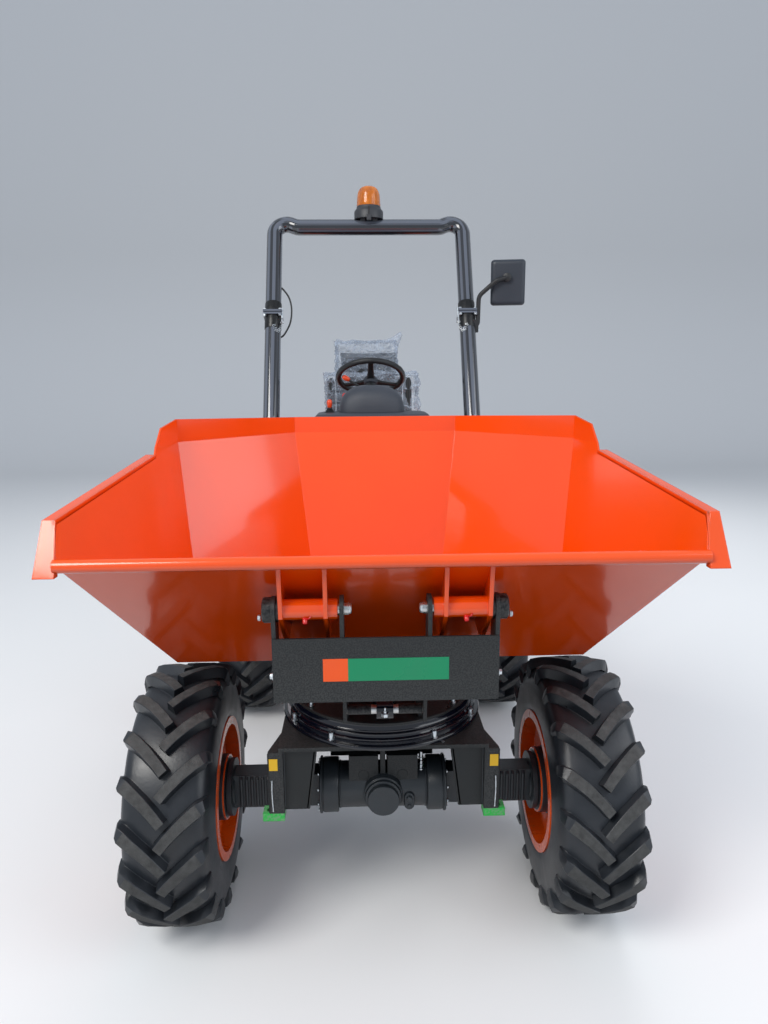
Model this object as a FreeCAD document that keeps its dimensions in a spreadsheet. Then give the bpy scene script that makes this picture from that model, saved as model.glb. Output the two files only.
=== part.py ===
import FreeCAD, Part
import Sketcher
import math
import os

Vector = FreeCAD.Vector

# Site dumper with a swivelling skip, in millimetres. The machine drives towards -Y, +X is its left
# side and +Z is up. The origin is on the ground, below the middle of its outside box.

# Driving sizes: name, millimetres or degrees, what it is.
# A name that ends in _z is a height above the axles, one that ends in _over is a height above the tyres' tops.
SIZES = [
    # wheels and axles
    ("front_axle_y", -995.5, "front axle line from the middle of the machine"),
    ("wheelbase", 1427, "front axle to rear axle"),
    ("half_track", 590, "middle plane to the middle of a tyre"),
    ("tyre_radius", 380, "to the lugs' tips"),
    ("tyre_half_width", 124, "half of the tyre's section width"),
    ("tread_half_width", 120, "half width of the tread"),
    ("bead_radius", 195, "rim seat under the tyre's bead"),
    ("rim_half_width", 107, "half width between the rim's flanges"),
    ("rim_flange_radius", 212, "outside of the rim's flange"),
    ("rim_flange_wide", 8, "thickness of the rim's flange"),
    ("rim_wall", 8, "thickness of the rim's barrel"),
    ("rim_well_radius", 172, "outside of the rim's drop centre"),
    ("wheel_disc_wall", 10, "thickness of the wheel disc"),
    ("wheel_disc_out", 24, "wheel disc outboard of the tyre's middle"),
    ("hub_radius", 96, "drum on the wheel's inner side"),
    ("hub_inboard", 112, "drum's inner end from the tyre's middle"),
    ("hub_nose_radius", 52, "hub cap on the outer side"),
    ("hub_nose_long", 34, "hub cap beyond the wheel disc"),
    ("wheel_gap", 6, "running gap between hub drum and axle flange"),
    ("spindle_radius", 40, "axle's spindle in the hub"),
    ("spindle_long", 70, "spindle inside the hub"),
    ("spindle_clearance", 0.3, "gap round the spindle"),
    ("arm_wide", 66, "axle arm, front to back"),
    ("arm_tall", 106, "axle arm, height"),
    ("arm_flange_thick", 14, "axle arm's end flange"),
    ("arm_flange_radius", 92, "axle arm's end flange radius"),
    ("diff_half_long", 191, "middle housing's half length"),
    ("diff_radius", 69, "middle housing's radius"),
    ("diff_collar_long", 52, "round collar at the housing's ends"),
    ("diff_collar_radius", 80, "that collar's radius"),
    ("diff_cap_radius", 47, "round cap on the housing's front"),
    ("diff_cap_long", 65, "cap in front of the housing's skin line"),
    # front frame
    ("frame_top_z", 232, "top of the front frame's deck"),
    ("frame_plate", 12, "plate thickness of both frames"),
    ("frame_front", 200, "deck's front edge ahead of the axle"),
    ("frame_back", 450, "deck's rear edge behind the axle"),
    ("frame_half_wide", 297, "half width of the front frame"),
    ("frame_under_z", 53, "underside of the side plates at the axle"),
    ("frame_nose_z", 31, "underside of the side plates at the front"),
    ("front_web_back", 20, "front web behind the deck's front edge"),
    ("front_web_wide", 100, "front web's width under the deck"),
    ("front_web_low_wide", 76, "front web's width at its foot"),
    ("wing_wide", 30, "side wing beyond the deck at the front"),
    ("wing_gap", 9, "wing's rear end ahead of the axle's arm"),
    ("wing_drop", 14, "wing's top below the deck's top"),
    ("cross_half_wide", 165, "half width of the plate behind the housing"),
    ("cross_low", 45, "that plate's lower edge above the axle"),
    # articulation joint
    ("pivot_behind", 720, "articulation axis behind the front axle"),
    ("web_ahead", 90, "tongue's webs end ahead of the articulation axis"),
    ("tongue_plate", 25, "thickness of the tongue's two plates"),
    ("tongue_low_z", 20, "underside of the lower tongue plate"),
    ("tongue_high_z", 207, "top of the upper tongue plate"),
    ("tongue_end_radius", 72, "rounded end of the tongue"),
    ("post_radius", 58, "rear frame's pivot barrel"),
    ("pivot_gap", 6, "gap above and below the pivot barrel"),
    ("pivot_pin_radius", 25, "articulation pin"),
    ("pin_clearance", 0.5, "radial clearance round a pin"),
    ("pin_head", 12, "thickness of a pin's head"),
    # slew ring
    ("ring_behind", 80, "swivel axis behind the front axle"),
    ("ring_radius", 306, "lower ring's outside"),
    ("ring_tall", 38, "lower ring's height"),
    ("ring_gap", 0.5, "running gap between the rings"),
    ("table_radius", 278, "swivel plate's radius"),
    ("table_thick", 30, "swivel plate's thickness"),
    ("ring_bore", 150, "hole through the lower ring"),
    # swivel frame and tipping pins
    ("pin_ahead", 435, "tipping axis ahead of the front axle"),
    ("pin_over", 336.5, "tipping axis"),
    ("pin_radius", 15, "tipping pin"),
    ("ear_radius", 33, "ear round the tipping pin"),
    ("ear_thick", 10, "thickness of ears and ribs"),
    ("inner_ear_x", 104, "middle of the inner ear"),
    ("outer_ear_x", 264, "middle of the outer ear"),
    ("boss_radius", 25, "skip's hinge boss"),
    ("boss_inner_x", 113, "inner end of the boss"),
    ("boss_outer_x", 254, "outer end of the boss"),
    ("bracket_thick", 10, "thickness of the skip's hinge plates"),
    ("bracket_root_ahead", 250, "rear end of the hinge plates' root, ahead of the front axle"),
    ("bracket_inner_x", 141, "middle of the inner hinge plate"),
    ("bracket_outer_x", 246, "middle of the outer hinge plate"),
    ("face_ahead", 465, "faceplate's front ahead of the front axle"),
    ("face_thick", 8, "faceplate's thickness"),
    ("face_half_wide", 269, "faceplate's half width"),
    ("face_low_over", 113, "faceplate's lower edge"),
    ("face_high_over", 273, "faceplate's upper edge"),
    ("shelf_over", 118, "underside of the shelf behind the faceplate"),
    ("shelf_back", 215, "shelf's rear edge ahead of the front axle"),
    # skip
    ("skip_wall", 5, "plate thickness of the skip"),
    ("lip_ahead", 500, "front lip ahead of the front axle"),
    ("lip_over", 474, "front lip"),
    ("lip_radius", 15.5, "rolled front lip"),
    ("lip_band", 46, "width of the rail's lower end at the lip"),
    ("lip_drop", 9, "rail's lower end below the roll"),
    ("floor_over", 62, "skip floor"),
    ("floor_ahead", 60, "floor's front edge ahead of the front axle"),
    ("floor_half_wide", 592, "half width of the floor's front edge"),
    ("back_half_wide", 295, "half width of the back panel at the fold"),
    ("back_behind", 620, "back panel's fold behind the front axle"),
    ("back_floor_behind", 454, "back panel's foot behind the front axle"),
    ("seam_behind", 130, "foot of the seam between side and angled panel, behind the front axle"),
    ("corner_x", 643, "rear corner of the side panel at the fold"),
    ("corner_behind", 289, "that corner behind the front axle"),
    ("fold_over", 666, "fold below the upright band"),
    ("band_back_over", 722, "top of the band at the back"),
    ("band_side_over", 740, "top of the band at the side"),
    ("step_high_behind", 172, "band's step, upper end, behind the axle"),
    ("step_high_over", 721, "band's step, upper end"),
    ("step_low_behind", 110, "band's step, lower end, behind the axle"),
    ("step_low_over", 647, "side rail's height at the step"),
    ("rail_front_ahead", 463, "side rail's front end ahead of the axle"),
    ("rail_front_over", 565, "side rail's front end"),
    ("rail_front_x", 745, "side panel's edge at the rail's front"),
    ("rail_wide", 28, "width of the side rail"),
    ("rail_deep", 22, "depth of the side rail"),
    # tipping cylinder
    ("ram_base_ahead", 300, "barrel's pin ahead of the front axle"),
    ("ram_over", 13, "tipping cylinder"),
    ("ram_eye_behind", 340, "rod's eye behind the front axle"),
    ("ram_barrel_radius", 30, "barrel's radius"),
    ("ram_rod_radius", 14, "rod's radius"),
    ("ram_gland", 26, "gland's length"),
    ("ram_bore_start", 40, "rod's bore from the barrel's pin"),
    ("rod_clearance", 0.1, "radial clearance round a rod"),
    ("ram_lug", 26, "rib's metal in front of, behind and below the barrel's pin"),
    ("ram_pin_radius", 12, "pin's radius"),
    ("ram_eye_radius", 25, "eye's radius"),
    ("ram_eye_half", 22, "eye's half width"),
    ("ram_barrel_long", 440, "barrel from its pin to the gland's face"),
    ("clevis_x", 30, "middle of the clevis plate"),
    ("clevis_ahead", 100, "clevis plate's root ahead of the eye"),
    ("clevis_back", 60, "clevis plate's root behind the eye"),
    # steering cylinder
    ("steer_x", 195, "steering cylinder beside the middle plane"),
    ("steer_z", 112, "steering cylinder's height"),
    ("steer_eye_ahead", 100, "rod's eye ahead of the articulation axis"),
    ("steer_base_behind", 480, "barrel's pin behind the articulation axis"),
    ("steer_barrel_radius", 24, "barrel's radius"),
    ("steer_rod_radius", 10, "rod's radius"),
    ("steer_barrel_long", 350, "barrel from its pin to its front end"),
    ("steer_neck", 36, "narrow neck between barrel and eye"),
    ("steer_stroke", 120, "room for the rod behind its inner end"),
    ("steer_lug_gap", 0.5, "gap beside each eye"),
    # rear frame and platform
    ("nose_half_wide", 58, "rear frame's nose"),
    ("rear_front", 550, "rear frame's front plate behind the articulation axis"),
    ("rear_half_wide", 265, "half width of the rear frame"),
    ("rear_top_over", 40, "top of the rear frame"),
    ("rear_end", 985, "rear frame's end behind the rear axle"),
    ("platform_thick", 6, "floor plate"),
    ("platform_front", 275, "floor plate's front edge ahead of the rear axle"),
    ("platform_half_wide", 728, "half width of the floor over the wheels"),
    ("guard_gap", 42, "gap between tyre and mudguard"),
    ("guard_wall", 5, "mudguard's plate"),
    ("guard_inner_x", 440, "mudguard's inner edge"),
    ("guard_outer_x", 728, "mudguard's outer edge"),
    ("step_out_x", 590, "step's outer edge"),
    ("step_z", 50, "step's tread"),
    ("step_thick", 30, "step's depth"),
    ("step_long", 62, "step, front to back"),
    ("step_gap", 29, "step to the tyre behind it"),
    ("guard_low", 110, "mudguard's ends above the axle"),
    # engine, hood and seat
    ("hood_front", 330, "hood's front behind the rear axle"),
    ("hood_wall", 4, "hood's skin"),
    ("hood_half_wide", 400, "half width of the hood"),
    ("hood_low_over", 52, "hood's lower edge"),
    ("hood_top_over", 480, "hood's top"),
    ("engine_half_wide", 210, "engine block, half width"),
    ("engine_long", 470, "engine block, front to back"),
    ("engine_tall", 430, "engine block, height"),
    ("engine_gap", 125, "engine's rear to the frame's end"),
    ("engine_up", 40, "engine above the frame's underside"),
    ("foot_in", 60, "engine's feet from its ends"),
    ("foot_long", 70, "engine's foot, front to back"),
    ("foot_tall", 40, "engine's foot, height"),
    ("tank_gap", 25, "tank's front behind the rear tyres"),
    ("tank_end_gap", 105, "tank's rear to the frame's end"),
    ("side_beyond", 40, "tanks and rear weight beyond the hood's sides"),
    ("lamp_wide", 120, "tail lamp's width"),
    ("lamp_beyond", 10, "tail lamp beyond the hood's side"),
    ("lamp_deep", 22, "tail lamp behind the rear weight"),
    ("lamp_tall", 60, "tail lamp's height"),
    ("lamp_below", 35, "tail lamp's top below the rear weight's top"),
    ("hood_slope", 20, "lean of the hood's rear wall"),
    ("hood_slope_drop", 190, "height of that lean"),
    ("seat_half_wide", 245, "half width of the seat"),
    ("seat_long", 455, "seat cushion, front to back"),
    ("seat_thick", 110, "seat cushion's thickness"),
    ("seat_front", 430, "seat's front behind the rear axle"),
    ("back_thick", 80, "backrest's thickness"),
    ("back_top_over", 983, "backrest's top"),
    ("back_half_width", 165, "half width of the backrest's upper part"),
    ("hip_top_over", 840, "top of the hip rests beside the driver"),
    ("hip_long", 150, "hip rest ahead of the backrest"),
    ("hip_thick", 45, "hip rest's thickness"),
    ("soft_gap", 0.3, "soft parts from what carries them"),
    ("hinge_x", 280, "middle of each hood hinge"),
    ("hinge_half", 20, "half length of the hood's knuckle"),
    ("hinge_long", 30, "length of each fixed knuckle"),
    ("hinge_radius", 9, "hood hinge knuckle"),
    ("hinge_pin", 5, "hood hinge pin"),
    ("hinge_back", 14, "hood hinge behind the frame's end"),
    ("hinge_up", 15, "hood hinge above the rear weight"),
    ("bumper_deep", 40, "rear weight, front to back"),
    ("bumper_top_over", 40, "rear weight's top"),
    ("hitch_long", 60, "towing jaw behind the rear weight"),
    ("hitch_half_wide", 45, "towing jaw's half width"),
    ("hitch_z", 172, "middle of the towing jaw"),
    ("hitch_open", 40, "space between the jaw's plates"),
    ("hitch_hole", 13, "radius of the towing pin's hole"),
    ("hook_out", 50, "tie-down plate beyond the side plate"),
    ("hook_long", 42, "tie-down plate, front to back"),
    ("hook_thick", 24, "tie-down plate's thickness"),
    ("hook_edge", 10, "metal outside the tie-down hole"),
    ("hook_hole", 11, "radius of the tie-down hole"),
    # dash, column and levers
    ("dash_front", 225, "dash's front ahead of the rear axle"),
    ("dash_half_wide", 267, "dash's half width"),
    ("dash_top_over", 695, "dash's shoulder"),
    ("dash_hump_over", 812, "dash's hump"),
    ("dash_hump_half", 149, "hump's radius, seen from the front"),
    ("dash_hump_deep", 120, "hump, front to back"),
    ("dash_deep", 250, "dash's shoulder, front to back"),
    ("dash_foot_deep", 150, "dash's foot, front to back"),
    ("wheel_radius", 178, "steering wheel's radius"),
    ("wheel_tube", 13, "steering wheel rim's radius"),
    ("wheel_behind", 303, "steering wheel's middle behind the rear axle"),
    ("wheel_over", 862, "steering wheel's middle"),
    ("wheel_tilt", 30, "steering wheel's tilt, degrees"),
    ("column_radius", 24, "steering column"),
    ("column_long", 190, "column below the steering wheel's middle"),
    ("lever_radius", 6, "lever's stem"),
    ("knob_radius", 14, "lever's knob"),
    ("knob_tall", 34, "lever's knob, height"),
    ("stalk_side", 105, "end of the column's stalk beside the middle"),
    ("stalk_ahead", 46, "that end ahead of the wheel's centre"),
    ("stalk_drop", 16, "that end below the wheel's centre"),
    ("stalk_below", 70, "stalk's root down the column from the wheel"),
    ("stalk_clear", 3.6, "middle of the stalk's root off the column"),
    # protective arch
    ("arch_x", 465, "middle of an arch post"),
    ("arch_tube", 38, "arch tube's radius"),
    ("arch_wall", 5, "arch tube's wall"),
    ("arch_front", 112, "post's foot ahead of the rear axle"),
    ("arch_bend_over", 640, "where the post starts to lean"),
    ("arch_fold_over", 1145, "arch's folding pin"),
    ("arch_top_over", 1583, "middle of the top tube"),
    ("arch_hump", 48, "hoop's corners above the top tube"),
    ("arch_hump_long", 110, "post's middle to where the top tube is straight"),
    ("arch_lean", 25.5, "post's lean, degrees"),
    ("arch_corner", 60, "bend radius of the hoop's corners"),
    ("fold_gap", 4, "gap between the two flanges at the fold"),
    ("fold_flange", 10, "thickness of each flange"),
    ("fold_axis_back", 54, "folding pin behind the tube's middle"),
    ("knuckle_radius", 12, "hinge knuckle at the fold"),
    ("knuckle_half", 15, "half length of the middle knuckle"),
    ("beacon_radius", 58, "beacon lens"),
    ("beacon_tall", 106, "beacon lens, height"),
    ("beacon_base_radius", 72, "beacon's base"),
    ("beacon_base_tall", 62, "beacon's base, height"),
    ("mirror_wide", 165, "mirror's width"),
    ("mirror_tall", 225, "mirror's height"),
    ("mirror_deep", 36, "mirror housing's depth"),
    ("mirror_x", 672, "middle of the mirror"),
    ("mirror_over", 1290, "middle of the mirror"),
    ("mirror_tube", 9, "mirror arm's radius"),
]

doc = FreeCAD.newDocument("SiteDumper")
sheet = doc.addObject("Spreadsheet::Sheet", "Sizes")
for row, (alias, number, meaning) in enumerate(SIZES, start=1):
    sheet.set("A%d" % row, alias)
    sheet.set("B%d" % row, str(number))
    sheet.set("C%d" % row, meaning)
    sheet.setAlias("B%d" % row, alias)
doc.recompute()


class Size:
    """A number together with the sheet expression that gives it."""

    def __init__(self, value, text):
        self.value = float(value)
        self.text = text

    def __add__(self, other):
        other = as_size(other)
        return Size(self.value + other.value, "(%s + %s)" % (self.text, other.text))

    def __sub__(self, other):
        other = as_size(other)
        return Size(self.value - other.value, "(%s - %s)" % (self.text, other.text))

    def __mul__(self, other):
        other = as_size(other)
        return Size(self.value * other.value, "(%s * %s)" % (self.text, other.text))

    def __truediv__(self, other):
        other = as_size(other)
        return Size(self.value / other.value, "(%s / %s)" % (self.text, other.text))

    def __radd__(self, other):
        return as_size(other) + self

    def __rsub__(self, other):
        return as_size(other) - self

    def __rmul__(self, other):
        return as_size(other) * self

    def __neg__(self):
        return as_size(-1) * self


def as_size(number):
    return number if isinstance(number, Size) else Size(number, "%.6g" % number)


class Sheet:
    """The driving sizes by name."""

    def __init__(self):
        for alias, number, meaning in SIZES:
            setattr(self, alias, Size(number, "Sizes." + alias))
        # from here on each name in _z is a height above the ground
        for alias, number, meaning in SIZES:
            if alias.endswith("_z"):
                setattr(self, alias, getattr(self, alias) + self.tyre_radius)
            if alias.endswith("_over"):
                setattr(self, alias[:-4] + "z", getattr(self, alias) + self.tyre_radius * 2)


s = Sheet()
PLANES = {"x": "YZ_Plane", "y": "XZ_Plane", "z": "XY_Plane"}
TURNS = {"x": FreeCAD.Rotation(Vector(0, 1, 0), 90), "y": FreeCAD.Rotation(Vector(1, 0, 0), -90),
         "z": FreeCAD.Rotation()}
nodes = {}
# levers on the dash: name, millimetres right of the middle, behind the dash's front, knob above the dash
LEVERS = [("inner", 115, 275, 68), ("outer", 188, 180, 38)]


def place(thing, x, y, z):
    """Binds the thing's place to the sheet."""
    for axis, size in (("x", x), ("y", y), ("z", z)):
        thing.setExpression("Placement.Base." + axis, as_size(size).text)


def box(name, x_from, x_to, y_from, y_to, z_from, z_to):
    thing = doc.addObject("Part::Box", name)
    for prop, low, high in (("Length", x_from, x_to), ("Width", y_from, y_to), ("Height", z_from, z_to)):
        thing.setExpression(prop, (as_size(high) - low).text)
    place(thing, x_from, y_from, z_from)
    return thing


def rod(name, axis, radius, start, length):
    """A cylinder from its start point along +x, +y or +z."""
    thing = doc.addObject("Part::Cylinder", name)
    thing.setExpression("Radius", as_size(radius).text)
    thing.setExpression("Height", as_size(length).text)
    thing.Placement = FreeCAD.Placement(Vector(), TURNS[axis])
    place(thing, *start)
    return thing


def joined(name, *things):
    thing = doc.addObject("Part::MultiFuse", name)
    thing.Shapes = list(things)
    thing.Refine = True
    return thing


def apart(name, *things):
    """Several solids in one node."""
    thing = doc.addObject("Part::Compound", name)
    thing.Links = list(things)
    return thing


def without(name, base, *tools):
    thing = doc.addObject("Part::Cut", name)
    thing.Base = base
    thing.Tool = tools[0] if len(tools) == 1 else joined(name + "_tools", *tools)
    return thing


def origin_plane(body, axis):
    return next(item for item in body.Origin.OriginFeatures if item.Role == PLANES[axis])


def outline(body, axis, points):
    """A closed sketch across an axis. A point is (across, up), or (across, up, radius) where the edge
    to the next point is an arc: it turns left for a positive radius and right for a negative one."""
    sketch = body.newObject("Sketcher::SketchObject", body.Name + "_outline")
    sketch.AttachmentSupport = [(origin_plane(body, axis), "")]
    sketch.MapMode = "FlatFace"
    corners = [(as_size(point[0]), as_size(point[1])) for point in points]
    ends = []
    for index, point in enumerate(points):
        here = Vector(corners[index][0].value, corners[index][1].value)
        there = Vector(*[size.value for size in corners[(index + 1) % len(points)]])
        if len(point) == 2:
            sketch.addGeometry(Part.LineSegment(here, there))
            ends.append((1, 2))
            continue
        radius = as_size(point[2]).value
        middle = (here + there) * 0.5
        chord = there - here
        rise = math.sqrt(max(radius * radius - (chord.Length / 2) ** 2, 0))
        side = Vector(-chord.y, chord.x).normalize() * math.copysign(rise, radius)
        centre = middle + side
        first, last = (here, there) if radius > 0 else (there, here)
        angles = [math.atan2(end.y - centre.y, end.x - centre.x) for end in (first, last)]
        sketch.addGeometry(Part.ArcOfCircle(Part.Circle(centre, Vector(0, 0, 1), abs(radius)), *angles))
        ends.append((1, 2) if radius > 0 else (2, 1))
    for index, point in enumerate(points):
        after = (index + 1) % len(points)
        sketch.addConstraint(Sketcher.Constraint("Coincident", index, ends[index][1], after, ends[after][0]))
        for kind, size in zip(("DistanceX", "DistanceY"), corners[index]):
            made = sketch.addConstraint(Sketcher.Constraint(kind, -1, 1, index, ends[index][0], size.value))
            sketch.setExpression("Constraints[%d]" % made, size.text)
        if len(point) == 3:
            size = as_size(point[2]) if as_size(point[2]).value > 0 else -as_size(point[2])
            made = sketch.addConstraint(Sketcher.Constraint("Radius", index, size.value))
            sketch.setExpression("Constraints[%d]" % made, size.text)
    return sketch


def plate(name, axis, points, low, high):
    """A flat outline from low to high along its axis."""
    body = doc.addObject("PartDesign::Body", name)
    pad = body.newObject("PartDesign::Pad", name + "_pad")
    pad.Profile = outline(body, axis, points)
    pad.Reversed = axis == "y"
    pad.setExpression("Length", (as_size(high) - low).text)
    start = {"x": (low, 0, 0), "y": (0, low, 0), "z": (0, 0, low)}[axis]
    place(body, *start)
    return body


def turned(name, axis, points, centre):
    """A ring or disc turned about an x, y or z line. Its points are (along the axis, radius)."""
    body = doc.addObject("PartDesign::Body", name)
    turn = body.newObject("PartDesign::Revolution", name + "_turn")
    if axis == "x":
        turn.Profile = outline(body, "z", points)
        turn.ReferenceAxis = (turn.Profile[0], ["H_Axis"])
    elif axis == "y":
        turn.Profile = outline(body, "z", [(point[1], point[0]) + tuple(point[2:]) for point in points])
        turn.ReferenceAxis = (turn.Profile[0], ["V_Axis"])
    else:
        turn.Profile = outline(body, "y", [(point[1], point[0]) + tuple(point[2:]) for point in points])
        turn.ReferenceAxis = (turn.Profile[0], ["V_Axis"])
    turn.Angle = 360
    place(body, *centre)
    return body


def shaped(name, shape):
    """A form that the other features can't give, made from curves and faces."""
    thing = doc.addObject("Part::Feature", name)
    thing.Shape = shape
    return thing


def keep(name, thing):
    """Makes the thing a sub-part with its own label and file."""
    thing.Label = name
    nodes[name] = thing


def tube(points, radius, wall, corner):
    """A round tube along straight runs with rounded corners."""
    path = []
    here = points[0]
    for index in range(1, len(points) - 1):
        before = (points[index - 1] - points[index]).normalize()
        after = (points[index + 1] - points[index]).normalize()
        half = before.getAngle(after) / 2
        back = corner / math.tan(half)
        start = points[index] + before * back
        end = points[index] + after * back
        centre = points[index] + (before + after).normalize() * (corner / math.sin(half))
        middle = centre + (points[index] - centre).normalize() * corner
        path.append(Part.LineSegment(here, start).toShape())
        path.append(Part.Arc(start, middle, end).toShape())
        here = end
    path.append(Part.LineSegment(here, points[-1]).toShape())
    wire = Part.Wire(path)
    direction = (points[1] - points[0]).normalize()
    outside = wire.makePipeShell([Part.Wire(Part.makeCircle(radius, points[0], direction))], True, False)
    if not wall:
        return outside
    inside = wire.makePipeShell([Part.Wire(Part.makeCircle(radius - wall, points[0], direction))], True, False)
    return outside.cut(inside)


# Places that several pieces share
rear_axle_y = s.front_axle_y + s.wheelbase
pivot_y = s.front_axle_y + s.pivot_behind
ring_y = s.front_axle_y + s.ring_behind
tip_y = s.front_axle_y - s.pin_ahead
table_z = s.frame_top_z + s.ring_tall + s.ring_gap
ENDS = [("front", s.front_axle_y), ("rear", rear_axle_y)]
SIDES = [("left", 1), ("right", -1)]


def both(side, low, high):
    """A span across the machine, kept in order on either side of the middle plane."""
    return (as_size(low), as_size(high)) if side > 0 else (-as_size(high), -as_size(low))


def wheels():
    """Four equal wheels: a tyre ring, and a rim with its disc, hub drum and cap."""
    for end, axle_y in ENDS:
        for side_name, side in SIDES:
            centre = (side * s.half_track, axle_y, s.tyre_radius)
            name = end + "_" + side_name
            shoulder = s.tyre_radius - 8
            tyre_points = [(-s.rim_half_width, s.bead_radius + s.soft_gap),
                           (s.rim_half_width, s.bead_radius + s.soft_gap),
                           (s.rim_half_width, s.rim_flange_radius), (s.tyre_half_width, 290),
                           (s.tread_half_width, shoulder), (s.tread_half_width - 40, s.tyre_radius),
                           (40 - s.tread_half_width, s.tyre_radius), (-s.tread_half_width, shoulder),
                           (-s.tyre_half_width, 290), (-s.rim_half_width, s.rim_flange_radius)]
            keep(name + "_tyre", turned(name + "_tyre", "x", tyre_points, centre))
            out = side
            disc = side * s.wheel_disc_out
            disc_far = side * (s.wheel_disc_out + s.wheel_disc_wall)
            edge = out * s.rim_half_width
            flange = out * (s.rim_half_width + s.rim_flange_wide)
            well = out * (s.rim_half_width - 42)
            inner = s.bead_radius - s.rim_wall
            rim_points = [(-flange, s.rim_flange_radius), (-edge, s.rim_flange_radius), (-edge, s.bead_radius),
                          (-well, s.bead_radius), (-well + out * 16, s.rim_well_radius),
                          (well - out * 16, s.rim_well_radius), (well, s.bead_radius), (edge, s.bead_radius),
                          (edge, s.rim_flange_radius), (flange, s.rim_flange_radius), (flange, inner),
                          (well + out * 4, inner), (well - out * 12, s.rim_well_radius - s.rim_wall),
                          (disc_far, s.rim_well_radius - s.rim_wall), (disc_far, s.hub_nose_radius),
                          (disc_far + out * s.hub_nose_long, s.hub_nose_radius),
                          (disc_far + out * s.hub_nose_long, 0), (-out * s.hub_inboard, 0),
                          (-out * s.hub_inboard, s.hub_radius), (disc, s.hub_radius),
                          (disc, s.rim_well_radius - s.rim_wall),
                          (-well + out * 12, s.rim_well_radius - s.rim_wall), (-well - out * 4, inner),
                          (-flange, inner)]
            depth = both(side, s.half_track - s.hub_inboard - 5,
                         s.half_track - s.hub_inboard + s.spindle_long + s.spindle_clearance)
            socket = rod(name + "_socket", "x", s.spindle_radius + s.spindle_clearance,
                         (depth[0], axle_y, s.tyre_radius), s.spindle_long + s.spindle_clearance + 5)
            keep(name + "_rim", without(name + "_rim", turned(name + "_wheel", "x", rim_points, centre), socket))


def axles():
    """Each axle is a round middle housing with collars, box arms and round end flanges."""
    for end, axle_y in ENDS:
        pieces = [rod(end + "_housing", "x", s.diff_radius, (-s.diff_half_long, axle_y, s.tyre_radius),
                      s.diff_half_long * 2),
                  rod(end + "_cap", "y", s.diff_cap_radius,
                      (0, axle_y - s.diff_radius - s.diff_cap_long + 30, s.tyre_radius),
                      s.diff_radius + s.diff_cap_long)]
        for side_name, side in SIDES:
            name = end + "_" + side_name
            collar_x = both(side, s.diff_half_long - s.diff_collar_long, s.diff_half_long)
            arm_end = s.half_track - s.hub_inboard - s.wheel_gap
            arm_x = both(side, s.diff_half_long, arm_end - s.arm_flange_thick)
            end_x = both(side, arm_end - s.arm_flange_thick, arm_end)
            pieces.append(rod(name + "_collar", "x", s.diff_collar_radius, (collar_x[0], axle_y, s.tyre_radius),
                              s.diff_collar_long))
            pieces.append(box(name + "_arm", arm_x[0], arm_x[1], axle_y - s.arm_wide / 2,
                              axle_y + s.arm_wide / 2, s.tyre_radius - s.arm_tall / 2,
                              s.tyre_radius + s.arm_tall / 2))
            pieces.append(rod(name + "_flange", "x", s.arm_flange_radius - 6, (end_x[0], axle_y, s.tyre_radius),
                              s.arm_flange_thick))
            spindle_x = both(side, arm_end - s.arm_flange_thick, arm_end + s.wheel_gap + s.spindle_long)
            pieces.append(rod(name + "_spindle", "x", s.spindle_radius, (spindle_x[0], axle_y, s.tyre_radius),
                              s.arm_flange_thick + s.wheel_gap + s.spindle_long))
        keep(end + "_axle", joined(end + "_axle", *pieces))


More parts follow.
